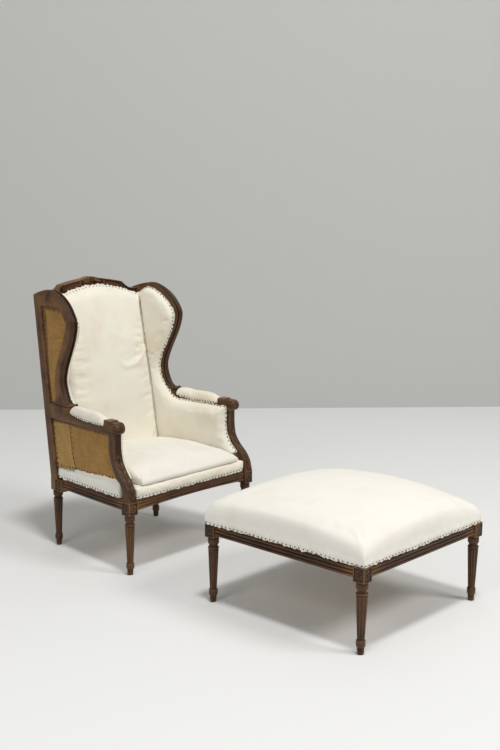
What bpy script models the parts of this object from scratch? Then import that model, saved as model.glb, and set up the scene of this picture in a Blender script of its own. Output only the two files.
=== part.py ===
"""Wing armchair with a matching footstool. Metres, +Z up, the chair faces -Y.

Left and right are as seen from the front. The chair's own places are measured from the point on
the floor midway between its front legs: "along" runs back beside a side rail, "out" runs outward
from the line of leg centres, "up" is the height above the floor.
"""

from math import atan2, cos, hypot, pi, radians, sin, tan

import bmesh
import bpy
from mathutils import Vector

for old in list(bpy.data.objects):
    bpy.data.objects.remove(old, do_unlink=True)

# Clearance between touching pieces
GAP = 0.0003

# Seat frame of the chair
FRONT_LEG_SPAN = 0.651
REAR_LEG_SPAN = 0.549
LEG_DEPTH_SPAN = 0.482
LEG_HEIGHT = 0.233
LEG_DIAMETER = 0.040
FLUTE_DEPTH = 0.0022
BLOCK_WIDTH = 0.043
BLOCK_HEIGHT = 0.050
REAR_BLOCK_SHOULDER = 0.006
REAR_BLOCK_DEPTH = 0.076
REAR_BLOCK_BACK = 0.0185
RAIL_LIFT = 0.012
RAIL_HEIGHT = 0.041
RAIL_THICKNESS = 0.030
RAIL_SETBACK = 0.006
MOULDING_DEPTH = 0.006
FRONT_RAIL_ARCH = 0.008
BRACE_REACH = 0.075
BRACE_HEIGHT = 0.032

# Back
STILE_WIDTH = 0.040
STILE_DEPTH = 0.045
STILE_TOP = 1.016
STILE_TOP_RISE = 0.0145
BACK_RAKE = radians(8.05)
CREST_THICKNESS = 0.040
CREST_PEAK_RISE = 0.060
CREST_SHOULDER_RISE = 0.0325
CREST_END_RISE = 0.001
CREST_TACK_RISE = 0.027
CREST_TACK_DROP = 0.046
CREST_UNDER = 0.030
CREST_MOULDING = 0.007
CREST_SHOULDER_REACH = 0.161
CREST_STEP_WIDTH = 0.052
ORNAMENT_REACH = 0.052
ORNAMENT_RISE = 0.006
LOWER_BACK_RAIL_LIFT = 0.048
LOWER_BACK_RAIL_HEIGHT = 0.050
LOWER_BACK_RAIL_THICKNESS = 0.024

# Arms
ARM_UNDERSIDE = 0.529
ARM_RAIL_WIDTH = 0.040
ARM_RAIL_HEIGHT = 0.023
ARM_TOP_RISE = 0.014
ARM_REAR_HEIGHT = 0.058
ARM_POST_SETBACK = 0.0865
SCROLL_RADIUS = 0.0225
SCROLL_FORWARD = 0.017
ARM_PLATE_RISE = 0.0045
ARM_PLATE_LENGTH = 0.040
ARM_PLATE_BACK = 0.062
TACK_RAIL_HEIGHT = 0.024
TACK_RAIL_THICKNESS = 0.016
UPRIGHT_WIDTH = 0.028
UPRIGHT_THICKNESS = 0.014
UPRIGHT_BACK = 0.350

# Wings
WING_DEPTH = 0.264
WING_PEAK_RISE = 0.0263
WING_FACE_WIDTH = 0.033
WING_FOOT_WIDTH = 0.090
WING_OPENING_DROP = 0.040
WING_THICKNESS = 0.040
WING_MOULDING = 0.008

# Chair upholstery
WEBBING_THICKNESS = 0.0012
STRAP_COUNT = 4
BASE_HEIGHT = 0.044
BASE_SWELL = 0.006
BASE_SIDE_CLEARANCE = 0.002
SEAT_RIM_HEIGHT = 0.036
SEAT_RIM_SLOPE = 0.007
SEAT_SIDE_CROWN = 0.020
SEAT_CROWN = 0.024
SEAT_REAR_CROWN = 0.018
SEAT_EDGE_DRAW = 0.010
SEAT_FRONT_SWELL = 0.004
BORDER_FRONT_RISE = 0.074
BORDER_REAR_RISE = 0.047
BORDER_INSET = 0.005
BORDER_OVER_BLOCK = 0.001
SIDE_PAD_THICKNESS = 0.026
SIDE_PAD_CROWN = 0.006
SIDE_PAD_EDGE = 0.014
SIDE_PAD_ROUND = 0.010
SIDE_PAD_SOFTEN = 0.022
BACK_PAD_THICKNESS = 0.038
BACK_PAD_LEAN = 0.026
BACK_PAD_CROWN = 0.026
BACK_PAD_DRAW = 0.008
BACK_PAD_ROOM = 0.003
ARM_PAD_WIDTH = 0.043
ARM_PAD_HEIGHT = 0.036
ARM_PAD_CROWN = 0.009
ARM_PAD_FRONT_DROP = 0.5
ARM_PAD_REAR_DROP = 0.4
ARM_PAD_FRONT_ROOM = 0.004
HESSIAN_THICKNESS = 0.0015
HESSIAN_RECESS = 0.009

# Footstool
STOOL_SPAN = 0.650
STOOL_LEG_HEIGHT = 0.238
STOOL_RAIL_LIFT = 0.009
STOOL_DISTANCE = 0.753
STOOL_TURN = radians(-1.64)
STOOL_BORDER_HEIGHT = 0.067
STOOL_EDGE_CROWN = 0.055
STOOL_CROWN = 0.019
STOOL_CORNER_SOFTEN = 0.0235
STOOL_SWELL = 0.002
STOOL_DRAW = 0.006
STOOL_STRAP_COUNT = 5

# How finely round shapes are divided
LEG_SIDES = 20
CURVE_STEPS = 4
CUSHION_CUTS = 7

# Worked out from the sizes above
SPLAY = atan2((FRONT_LEG_SPAN - REAR_LEG_SPAN) / 2, LEG_DEPTH_SPAN)
SIDE_RUN = hypot((FRONT_LEG_SPAN - REAR_LEG_SPAN) / 2, LEG_DEPTH_SPAN)
HALF_BLOCK = BLOCK_WIDTH / 2
BLOCK_TOP = LEG_HEIGHT + BLOCK_HEIGHT
RAIL_BOTTOM = LEG_HEIGHT + RAIL_LIFT
RAIL_TOP = RAIL_BOTTOM + RAIL_HEIGHT
RAIL_OUT = HALF_BLOCK - RAIL_SETBACK
ARM_TOP = ARM_UNDERSIDE + ARM_RAIL_HEIGHT
CREST_PEAK = STILE_TOP + CREST_PEAK_RISE
CREST_SHOULDER = STILE_TOP + CREST_SHOULDER_RISE
CREST_END = STILE_TOP + CREST_END_RISE
CREST_TACK_MIDDLE = STILE_TOP + CREST_TACK_RISE
WING_BASE = ARM_UNDERSIDE + ARM_REAR_HEIGHT + GAP
WING_HEIGHT = STILE_TOP + WING_PEAK_RISE - WING_BASE
WING_OPENING_TOP = STILE_TOP - WING_OPENING_DROP
PAD_OUT = HALF_BLOCK - ARM_RAIL_WIDTH - GAP
BASE_BOTTOM = RAIL_TOP + WEBBING_THICKNESS + 2 * GAP
BASE_TOP = BASE_BOTTOM + BASE_HEIGHT
STOOL_RAIL_BOTTOM = STOOL_LEG_HEIGHT + STOOL_RAIL_LIFT
STOOL_RAIL_TOP = STOOL_RAIL_BOTTOM + RAIL_HEIGHT

# Wood, hessian and calico
WOOD = ("walnut_wood", (0.115, 0.052, 0.026), 0.38)
HIDDEN_WOOD = ("beech_wood", (0.36, 0.22, 0.11), 0.7)
HESSIAN = ("hessian", (0.40, 0.25, 0.10), 0.95)
WEBBING = ("webbing", (0.46, 0.36, 0.22), 0.95)
CALICO = ("calico", (0.83, 0.78, 0.67), 0.95)


def material(kind):
    """The material of this kind, made on first use."""
    name, color, roughness = kind
    made = bpy.data.materials.get(name)
    if made is None:
        made = bpy.data.materials.new(name)
        made.use_nodes = True
        shader = made.node_tree.nodes["Principled BSDF"]
        shader.inputs["Base Color"].default_value = (*color, 1.0)
        shader.inputs["Roughness"].default_value = roughness
        shader.inputs["Metallic"].default_value = 0.0
    return made


def empty(name, location, turn=0.0):
    """An empty that carries one of the two pieces of furniture."""
    made = bpy.data.objects.new(name, None)
    made.location = location
    made.rotation_euler = (0, 0, turn)
    bpy.context.scene.collection.objects.link(made)
    return made


def deliver(name, bm, kind, parent, crease=radians(38)):
    """Turns a finished bmesh into a named object with its faces pointing out."""
    bmesh.ops.recalc_face_normals(bm, faces=bm.faces)
    if bm.calc_volume(signed=True) < 0:
        bmesh.ops.reverse_faces(bm, faces=bm.faces)
    mesh = bpy.data.meshes.new(name)
    bm.to_mesh(mesh)
    bm.free()
    mesh.shade_smooth()
    mesh.set_sharp_from_angle(angle=crease)
    mesh.materials.append(material(kind))
    made = bpy.data.objects.new(name, mesh)
    made.parent = parent
    bpy.context.scene.collection.objects.link(made)
    return made


def loft(rings):
    """A closed skin over rings of equally many points, matched one to one, with both ends filled."""
    bm = bmesh.new()
    loops = [[bm.verts.new(point) for point in points] for points in rings]
    for below, above in zip(loops, loops[1:]):
        for face in zip(below, below[1:] + below[:1], above[1:] + above[:1], above):
            bm.faces.new(face)
    bm.faces.new(loops[0])
    bm.faces.new(loops[-1])
    return bm


def smooth_curve(points, steps=CURVE_STEPS):
    """Points along a smooth curve that passes through every given point."""
    padded = [points[0], *points, points[-1]]
    curve = []
    for a, b, c, d in zip(padded, padded[1:], padded[2:], padded[3:]):
        for step in range(steps):
            t = step / steps
            curve.append(
                tuple(
                    (2 * q + (r - p) * t + (2 * p - 5 * q + 4 * r - s) * t**2 + (3 * q - p - 3 * r + s) * t**3) / 2
                    for p, q, r, s in zip(a, b, c, d)
                )
            )
    curve.append(tuple(points[-1]))
    return curve


def side_point(side, along, out, up):
    """A point beside a side rail: side is -1 on the left and 1 on the right."""
    x = FRONT_LEG_SPAN / 2 - along * sin(SPLAY) + out * cos(SPLAY)
    y = along * cos(SPLAY) + out * sin(SPLAY)
    return Vector((side * x, y, up))


def along_at(depth, out):
    """How far along the side a plane square to the chair, at this depth, is met."""
    return (depth - out * sin(SPLAY)) / cos(SPLAY)


def stile_back(up):
    """Along place of the raked stile's rear face at a height."""
    return SIDE_RUN + REAR_BLOCK_BACK + (up - BLOCK_TOP) * tan(BACK_RAKE)


def back_depth(up):
    """Depth of the rear face of the back at a height, on the chair's centre line."""
    return stile_back(up) * cos(SPLAY)


def stile_inner(depth):
    """Half the clear width between the stiles at this depth."""
    out = HALF_BLOCK - STILE_WIDTH
    return side_point(1, along_at(depth, out), out, 0).x


# Legs

# Height share and radius share of each turned ring, from the floor up
FOOT_SHARES = ((0, 0.50), (0.10, 0.62), (0.107, 0.73), (0.20, 0.75), (0.222, 0.60))
SHAFT_SHARES = ((0.23, 0.63), (0.805, 0.93))
NECK_SHARES = (
    (0.815, 0.80), (0.823, 0.98), (0.846, 0.98), (0.86, 0.77), (0.905, 0.95), (0.98, 0.97), (1, 0.9),
)


def turned_ring(radius, flute=0):
    """Points of one turned ring. Every second point drops into a flute."""
    ring = []
    for i in range(LEG_SIDES):
        angle = pi / 4 + 2 * pi * i / LEG_SIDES
        reach = radius - flute * (i % 2)
        ring.append((reach * cos(angle), reach * sin(angle)))
    return ring


def square_ring(half_width, front, back):
    """Points round a rectangle, seen from the leg's centre at the same angles as a turned ring's."""
    ring = []
    for a, b in turned_ring(1):
        reach = min(half_width / abs(a), (back if b > 0 else front) / abs(b))
        ring.append((a * reach, b * reach))
    for corner in ((half_width, back), (-half_width, back), (-half_width, -front), (half_width, -front)):
        towards = Vector(corner).normalized()
        nearest = max(range(LEG_SIDES), key=lambda i: Vector(ring[i]).normalized().dot(towards))
        ring[nearest] = corner
    return ring


def leg_sections(height):
    """(up, ring) of the turned leg from the foot to the underside of its block."""
    radius = LEG_DIAMETER / 2
    rows = [(share, size, 0) for share, size in FOOT_SHARES]
    rows += [(share, size, FLUTE_DEPTH) for share, size in SHAFT_SHARES]
    rows += [(share, size, 0) for share, size in NECK_SHARES]
    return [(height * share, turned_ring(radius * size, flute)) for share, size, flute in rows]


def plain_leg(name, centre, height, parent):
    """A turned and fluted leg under a square block."""
    sections = leg_sections(height)
    block = square_ring(HALF_BLOCK, HALF_BLOCK, HALF_BLOCK)
    sections += [(height, block), (height + BLOCK_HEIGHT, block)]
    rings = [[Vector((centre[0] + a, centre[1] + b, up)) for a, b in ring] for up, ring in sections]
    deliver(name, loft(rings), WOOD, parent)


def rear_leg(name, side, parent):
    """A rear leg, its block and the raked stile, in one length of wood. Its top slopes up to the wing."""
    block = square_ring(HALF_BLOCK, REAR_BLOCK_DEPTH - REAR_BLOCK_BACK, REAR_BLOCK_BACK)
    sections = leg_sections(LEG_HEIGHT) + [(LEG_HEIGHT, block), (BLOCK_TOP, block)]
    rings = [[side_point(side, SIDE_RUN + b, a, up) for a, b in ring] for up, ring in sections]
    out = HALF_BLOCK - STILE_WIDTH / 2
    for up, rise in ((BLOCK_TOP + REAR_BLOCK_SHOULDER, 0), (STILE_TOP, STILE_TOP_RISE)):
        ring = []
        for a, b in block:
            forward = (REAR_BLOCK_BACK - b) / REAR_BLOCK_DEPTH
            level = up + rise * forward
            along = stile_back(level) - forward * STILE_DEPTH
            ring.append(side_point(side, along, out + a / BLOCK_WIDTH * STILE_WIDTH, level))
        rings.append(ring)
    deliver(name, loft(rings), WOOD, parent)


# Seat rails

# Moulded outer face of a rail: share of the moulding's depth and of the rail's height, upward
RAIL_FACE_SHARES = (
    (0.4, 0), (1, 0.10), (1, 0.20), (0.45, 0.27), (0.85, 0.36), (0.85, 0.50),
    (0.4, 0.57), (0.7, 0.66), (0.7, 0.80), (0.2, 0.87), (0.2, 1),
)


def rail_profile(thickness):
    """(out, up) of a rail's section, with out measured back from its moulded face."""
    face = [(MOULDING_DEPTH * (depth - 1), RAIL_HEIGHT * up) for depth, up in RAIL_FACE_SHARES]
    return face + [(-thickness, RAIL_HEIGHT), (-thickness, 0)]


def side_rail(name, side, parent):
    """A side seat rail from the front block to the rear block."""
    front, rear = [], []
    front_face = HALF_BLOCK + GAP
    rear_face = SIDE_RUN + REAR_BLOCK_BACK - REAR_BLOCK_DEPTH - GAP
    for back, up in rail_profile(RAIL_THICKNESS):
        out = RAIL_OUT + back
        front.append(side_point(side, along_at(front_face, out), out, RAIL_BOTTOM + up))
        rear.append(side_point(side, rear_face, out, RAIL_BOTTOM + up))
    deliver(name, loft([front, rear]), WOOD, parent)


# Places along a cross rail, as shares of half its length
RAIL_PLACE_SHARES = (-1, -0.7, -0.35, 0, 0.35, 0.7, 1)


def cross_rail(name, half_length, face, facing, bottom, parent, arch=0):
    """A rail across the front (facing -1) or the back (facing 1) of a frame. arch lifts its lower edge."""
    rings = []
    for place in RAIL_PLACE_SHARES if arch else (-1, 1):
        ring = []
        for back, up in rail_profile(RAIL_THICKNESS):
            lift = arch * (1 - place**2) * (1 - up / RAIL_HEIGHT)
            ring.append(Vector((place * half_length, face + facing * back, bottom + up + lift)))
        rings.append(ring)
    deliver(name, loft(rings), WOOD, parent)


def rear_seat_rail(parent):
    """The plain rear rail, its ends cut to the turned-in faces of the rear blocks."""
    face = LEG_DEPTH_SPAN + REAR_BLOCK_BACK - RAIL_SETBACK
    out = -HALF_BLOCK - GAP
    ends = []
    for side in (-1, 1):
        end = []
        for back, up in rail_profile(RAIL_THICKNESS):
            depth = face + back
            x = side_point(side, along_at(depth, out), out, 0).x
            end.append(Vector((x, depth, RAIL_BOTTOM + up)))
        ends.append(end)
    deliver("rear_seat_rail", loft(ends), WOOD, parent)


def corner_brace(name, corner, top, parent):
    """A glue block in a corner of a seat frame. corner gives the five plan points."""
    rings = [[Vector((x, y, up)) for x, y in corner] for up in (top - BRACE_HEIGHT, top)]
    deliver(name, loft(rings), HIDDEN_WOOD, parent)


def chair_corner(side, rear):
    """Plan points of a corner brace, clear of the block and of both rails."""
    rail_in = RAIL_OUT - RAIL_THICKNESS - GAP
    block_in = -HALF_BLOCK - GAP
    if rear:
        cross = LEG_DEPTH_SPAN + REAR_BLOCK_BACK - RAIL_SETBACK - RAIL_THICKNESS - GAP
        block = SIDE_RUN + REAR_BLOCK_BACK - REAR_BLOCK_DEPTH - GAP
        side_far = side_point(side, block - BRACE_REACH + HALF_BLOCK, rail_in, 0)
        side_near = side_point(side, block, rail_in, 0)
        notch = side_point(side, block, block_in, 0)
        cross_near = side_point(side, along_at(cross, block_in), block_in, 0)
    else:
        cross = RAIL_THICKNESS - RAIL_OUT + GAP
        side_far = side_point(side, BRACE_REACH, rail_in, 0)
        side_near = side_point(side, along_at(HALF_BLOCK + GAP, rail_in), rail_in, 0)
        notch = Vector((side * (FRONT_LEG_SPAN / 2 + block_in), HALF_BLOCK + GAP, 0))
        cross_near = Vector((notch.x, cross, 0))
    cross_far = Vector((cross_near.x - side * (BRACE_REACH - HALF_BLOCK), cross, 0))
    return [(point.x, point.y) for point in (side_far, side_near, notch, cross_near, cross_far)]


def stool_corner(a, b):
    """Plan points of a footstool brace in the corner towards (a, b)."""
    half = STOOL_SPAN / 2
    rail_in = half + RAIL_OUT - RAIL_THICKNESS - GAP
    block_in = half - HALF_BLOCK - GAP
    reach = half - BRACE_REACH
    plan = ((reach, rail_in), (block_in, rail_in), (block_in, block_in), (rail_in, block_in), (rail_in, reach))
    return [(a * x, b * y) for x, y in plan]


# Arms

# Arm post from the block up: share of its height, of the set-back, of the block's width each way
ARM_POST_SHARES = (
    (0, 0, 1, 1), (0.05, 0.01, 0.93, 0.93), (0.16, 0.05, 0.80, 0.92), (0.24, 0.15, 0.76, 0.92),
    (0.32, 0.34, 0.86, 0.92), (0.42, 0.62, 0.86, 0.92), (0.52, 0.80, 0.74, 0.92), (0.61, 0.91, 0.70, 0.90),
    (0.74, 0.98, 0.74, 0.88), (0.86, 1, 0.76, 0.88), (1, 1, 0.77, 0.88),
)
ARM_POST_SQUARE_SHARE = 0.2
POST_ROUND_SHARE = 0.30


def rounded_square(half_a, half_b):
    """A rectangle whose four corners are cut to a soft edge."""
    cut = POST_ROUND_SHARE * min(half_a, half_b)
    bulge = cut * (1 - cos(pi / 4))
    ring = []
    for sign_a, sign_b, turned in ((1, 1, False), (-1, 1, True), (-1, -1, False), (1, -1, True)):
        corner = [(half_a, half_b - cut), (half_a - bulge, half_b - bulge), (half_a - cut, half_b)]
        corner = [(sign_a * a, sign_b * b) for a, b in corner]
        ring += corner[::-1] if turned else corner
    return ring


def post_stations():
    """(up, along, half depth, half width, share) of the arm post, from the block up."""
    bottom = BLOCK_TOP + GAP
    height = ARM_UNDERSIDE - GAP - bottom
    stations = []
    for share, back, depth, width in smooth_curve(ARM_POST_SHARES, 2):
        place = back * ARM_POST_SETBACK
        stations.append((bottom + share * height, place, depth * HALF_BLOCK, width * HALF_BLOCK, share))
    return stations


def post_place(up):
    """(along, half depth) of the arm post at a height."""
    for low, high in zip(post_stations(), post_stations()[1:]):
        if up <= high[0]:
            break
    t = min(max((up - low[0]) / (high[0] - low[0]), 0), 1)
    return tuple(p + (q - p) * t for p, q in zip(low[1:3], high[1:3]))


def arm_post(name, side, parent):
    """The swept arm post, square with its block below and with the side of the chair above."""
    rings = []
    for up, place, half_depth, half_width, share in post_stations():
        turn = SPLAY * max(1 - share / ARM_POST_SQUARE_SHARE, 0)
        ring = []
        for a, b in rounded_square(half_width, half_depth):
            out = HALF_BLOCK - half_width + a * cos(turn) + b * sin(turn)
            ring.append(side_point(side, place - a * sin(turn) + b * cos(turn), out, up))
        rings.append(ring)
    deliver(name, loft(rings), WOOD, parent)


def scroll_centre():
    """(along, up) of the arm scroll's centre."""
    return ARM_POST_SETBACK - SCROLL_FORWARD, ARM_UNDERSIDE + SCROLL_RADIUS


# Where along the pad, from -1 to 1, the arm rail starts to rise towards the wing
ARM_RISE_START = 0.2


def arm_pad_place(share):
    """Along place of a share of the arm pad's length, from -1 at its front to 1 at the wing."""
    front = scroll_centre()[0] + ARM_PLATE_BACK + ARM_PAD_FRONT_ROOM
    rear = wing_foot() - ARM_PLATE_RISE - GAP
    return front + (rear - front) * (share + 1) / 2


def arm_outline():
    """(along, up) round the arm rail's side: scroll, plate, pad seat and the rise under the wing."""
    along, up = scroll_centre()
    steps = 9
    outline = []
    for step in range(steps + 1):
        angle = -pi / 2 - pi * step / steps
        outline.append((along + SCROLL_RADIUS * cos(angle), up + SCROLL_RADIUS * sin(angle)))
    plate_start = along + ARM_PLATE_BACK - ARM_PLATE_LENGTH
    plate_end = along + ARM_PLATE_BACK
    top = up + SCROLL_RADIUS
    outline += [
        (plate_start, top),
        (plate_start, top + ARM_PLATE_RISE),
        (plate_end, top + ARM_PLATE_RISE),
        (plate_end, ARM_TOP),
        (arm_pad_place(ARM_RISE_START), ARM_TOP),
        (arm_pad_place(1), ARM_TOP + ARM_TOP_RISE),
        (wing_foot(), ARM_UNDERSIDE + ARM_REAR_HEIGHT),
    ]
    outline += [(stile_front(level), level) for level in (ARM_UNDERSIDE + ARM_REAR_HEIGHT, ARM_UNDERSIDE)]
    return outline


def slab(name, side, outline, out_from, out_to, kind, parent):
    """A flat piece in a side of the chair: an (along, up) outline given a thickness."""
    rings = [[side_point(side, along, out, up) for along, up in outline] for out in (out_from, out_to)]
    deliver(name, loft(rings), kind, parent)


def border_top(along):
    """Height of the top of the seat's side border, which rises towards the front."""
    share = along / SIDE_RUN
    return RAIL_TOP + BORDER_FRONT_RISE + (BORDER_REAR_RISE - BORDER_FRONT_RISE) * share


def post_back(up):
    """Along place of the arm post's rear face at a height."""
    return sum(post_place(up))


def stile_front(up):
    """Along place of the stile's front face, with a gap before it, at a height."""
    return stile_back(up) - STILE_DEPTH - GAP


def over_border(along, rise):
    """(along, up) of a point this far over the seat's side border."""
    return along, border_top(along) + rise


def border_ends(rise):
    """Where a line this far over the border meets the arm post and the stile."""
    front = post_back(border_top(0) + rise) + GAP
    return over_border(front, rise), over_border(stile_front(border_top(SIDE_RUN) + rise), rise)


def tack_rail(name, side, parent):
    """The slat between post and stile that the arm's hessian and lining are tacked to."""
    outline = [*border_ends(GAP), *border_ends(GAP + TACK_RAIL_HEIGHT)[::-1]]
    slab(name, side, outline, PAD_OUT + TACK_RAIL_THICKNESS, PAD_OUT + GAP, HIDDEN_WOOD, parent)


def stuffing_upright(name, side, parent):
    """The upright behind the hessian, between the tacking rail and the arm rail."""
    front, rear = UPRIGHT_BACK, UPRIGHT_BACK + UPRIGHT_WIDTH
    foot = TACK_RAIL_HEIGHT + 2 * GAP
    top = ARM_UNDERSIDE - GAP
    outline = [over_border(front, foot), over_border(rear, foot), (rear, top), (front, top)]
    slab(name, side, outline, PAD_OUT + UPRIGHT_THICKNESS, PAD_OUT + GAP, HIDDEN_WOOD, parent)


# Wings

# Front edge of the wing: share of its depth forward of the back corner, share of its height
WING_SHARES = (
    (0.948, 0.004), (0.812, 0.04), (0.731, 0.125), (0.695, 0.215), (0.725, 0.30), (0.797, 0.40),
    (0.892, 0.51), (0.958, 0.60), (1, 0.70), (0.979, 0.77), (0.880, 0.855), (0.755, 0.92),
    (0.58, 0.975), (0.40, 1), (0.205, 0.98), (0, 0.945),
)
WING_JOINT = 13
WING_LEVEL_SHARE = 0.22


def wing_corner():
    """Along place of the back corner of the wing's top."""
    return stile_back(WING_BASE + WING_HEIGHT)


def wing_foot():
    """Along place of the tip of the wing, where the arm rail steps up behind the pad."""
    return wing_corner() - WING_DEPTH * WING_SHARES[0][0]


def wing_edge():
    """Stations along the wing's edge: (along, up) and the direction across the wood."""
    points = []
    for forward, rise in WING_SHARES:
        points.append((wing_corner() - WING_DEPTH * forward, WING_BASE + WING_HEIGHT * rise))
    path = [Vector(point) for point in smooth_curve(points, 2)]
    stations = []
    for i, point in enumerate(path):
        run = path[min(i + 1, len(path) - 1)] - path[max(i - 1, 0)]
        across = Vector((run.y, -run.x)).normalized()
        level = (point.y - WING_BASE) / (WING_HEIGHT * WING_LEVEL_SHARE)
        if level < 1:
            across = Vector((1, 0)).lerp(across, max(level, 0) ** 2).normalized()
        stations.append((point, across))
    return stations


def wing_width(up):
    """Width of the wing's wood across its face, widening where it stands on the arm rail."""
    level = (up - WING_BASE) / (WING_HEIGHT * WING_LEVEL_SHARE)
    extra = max(1 - level, 0) ** 3 * (WING_FOOT_WIDTH - WING_FACE_WIDTH)
    return WING_FACE_WIDTH + extra


# Section of the wing's front edge: share of the moulding's height, share of the thickness
WING_FACE_SHARES = (
    (0.8, 1), (1, 0.94), (1, 0.60), (0.5, 0.54), (0.5, 0.46), (0.1, 0.38), (0.1, 0.24), (0.7, 0.18), (0.7, 0.05), (0.5, 0),
)


def wing_station(point, across, width):
    """(edge, direction across the wood, foot of the section) at a station of the wing."""
    low = point + across * width
    return point, across, Vector((low.x, min(low.y, WING_OPENING_TOP)))


def wing_section(side, point, across, low):
    """One ring round the wing's wood at a station of its edge."""
    inner_out = HALF_BLOCK - WING_THICKNESS
    ring = []
    for raised, thick in WING_FACE_SHARES:
        place = point + across * (WING_MOULDING * (1 - raised))
        ring.append(side_point(side, place.x, inner_out + WING_THICKNESS * thick, place.y))
    ring.append(side_point(side, low.x, inner_out, low.y))
    ring.append(side_point(side, low.x, HALF_BLOCK, low.y))
    return ring


def wing_front_stations():
    """Stations of the S-shaped front of the wing."""
    return [wing_station(point, across, wing_width(point.y)) for point, across in wing_edge()[: 2 * WING_JOINT + 1]]


def wing_top_stations():
    """Stations of the board over the wing, cut to the raked front of the stile."""
    low = Vector((stile_front(WING_OPENING_TOP), WING_OPENING_TOP))
    kept = []
    stations = wing_edge()[2 * WING_JOINT :]
    for (here, across), (after, _) in zip(stations, stations[1:]):
        kept.append((here, across, Vector((min(here.x, low.x), WING_OPENING_TOP))))
        if after.x > stile_front(after.y):
            share = (stile_front(here.y) - here.x) / (after.x - here.x)
            top = here.lerp(after, share)
            break
    top = Vector((stile_front(top.y), top.y))
    kept.append((top, (low - top).normalized(), low))
    point, across, _ = kept[0]
    foot = wing_front_stations()[-1][2]
    ahead = Vector((GAP, 0))
    kept[0] = (point + ahead, across, foot + ahead)
    return kept


def wing_board(name, side, stations, parent):
    """One of the two pieces of the wing's wood."""
    deliver(name, loft([wing_section(side, *station) for station in stations]), WOOD, parent)


def wing_opening(inset):
    """(along, up) round the opening inside the wing's wood, drawn in by inset."""
    outline = []
    for _, _, low in wing_front_stations():
        if low.y > WING_BASE + inset:
            outline.append((low.x + inset, min(low.y, WING_OPENING_TOP - inset)))
        if low.y >= WING_OPENING_TOP:
            break
    outline.insert(0, (outline[0][0], WING_BASE + inset))
    outline += [(stile_front(up) - inset, up) for up in (WING_OPENING_TOP - inset, WING_BASE + inset)]
    return outline


# Back

def crest_line(x):
    """Height of the crest's top edge above the floor at a distance from the centre."""
    x = abs(x)
    if x < CREST_SHOULDER_REACH:
        share = x / CREST_SHOULDER_REACH
        arch = CREST_PEAK - ORNAMENT_RISE - CREST_SHOULDER
        top = CREST_SHOULDER + arch * (1 - share**1.6)
        if x < ORNAMENT_REACH:
            top += ORNAMENT_RISE * (1 + cos(pi * x / ORNAMENT_REACH)) / 2
        return top
    share = min((x - CREST_SHOULDER_REACH) / CREST_STEP_WIDTH, 1)
    return CREST_SHOULDER + (CREST_END - CREST_SHOULDER) * sin(pi / 2 * share)


# How the tack line under the crest falls away to its ends
TACK_LINE_POWER = 1.8

# Places along the crest, as shares of half its length, closer at the ornament and the step
CREST_PLACE_SHARES = (0, 0.07, 0.14, 0.21, 0.30, 0.45, 0.60, 0.682, 0.70, 0.76, 0.82, 0.90, 1)


def crest_half():
    """Half the crest's length, between the stiles."""
    return stile_inner(back_depth(CREST_END)) - GAP


def tack_line(share):
    """Height of the inside back's top edge, at a share of the crest's half length."""
    return CREST_TACK_MIDDLE - CREST_TACK_DROP * abs(share) ** TACK_LINE_POWER


def crest_rail(parent):
    """The arched crest rail between the stiles, stepped at both shoulders."""
    rings = []
    for share in [-share for share in CREST_PLACE_SHARES[:0:-1]] + list(CREST_PLACE_SHARES):
        top = crest_line(share * crest_half())
        low = tack_line(share) - CREST_UNDER
        section = (
            (0, top), (-CREST_MOULDING, top), (-CREST_MOULDING, top - CREST_MOULDING),
            (0, top - 2 * CREST_MOULDING), (0, low), (CREST_THICKNESS, low), (CREST_THICKNESS, top),
        )
        ring = []
        for back, up in section[1:]:
            depth = back_depth(up) - CREST_THICKNESS + back
            ring.append(Vector((share * (stile_inner(depth) - GAP), depth, up)))
        rings.append(ring)
    deliver("crest_rail", loft(rings), WOOD, parent)


def lower_back_rail(parent):
    """The plain rail low in the back that the back's hessian and lining are tacked to."""
    bottom = BLOCK_TOP + LOWER_BACK_RAIL_LIFT
    rings = []
    for side in (-1, 1):
        ring = []
        for up, back in ((0, 0), (0, 1), (1, 1), (1, 0)):
            height = bottom + up * LOWER_BACK_RAIL_HEIGHT
            depth = back_depth(height) - STILE_DEPTH / 4 - (1 - back) * LOWER_BACK_RAIL_THICKNESS
            ring.append(Vector((side * (stile_inner(depth) - GAP), depth, height)))
        rings.append(ring)
    deliver("lower_back_rail", loft(rings), HIDDEN_WOOD, parent)


def back_hessian(parent):
    """The hessian across the back, between stiles, crest and lower back rail."""
    foot = BLOCK_TOP + LOWER_BACK_RAIL_LIFT + LOWER_BACK_RAIL_HEIGHT + GAP
    heights = [(share, tack_line(share) - CREST_UNDER - GAP) for share in CREST_PLACE_SHARES[::-1]]
    heights += [(-share, up) for share, up in heights[-2::-1]]
    heights += [(-1, foot), (1, foot)]
    rings = []
    for thick in (0, HESSIAN_THICKNESS):
        ring = []
        for share, up in heights:
            depth = back_depth(up) - HESSIAN_RECESS + thick
            ring.append(Vector((share * (stile_inner(depth) - GAP), depth, up)))
        rings.append(ring)
    deliver("outside_back_hessian", loft(rings), HESSIAN, parent)


# Upholstery


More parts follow.
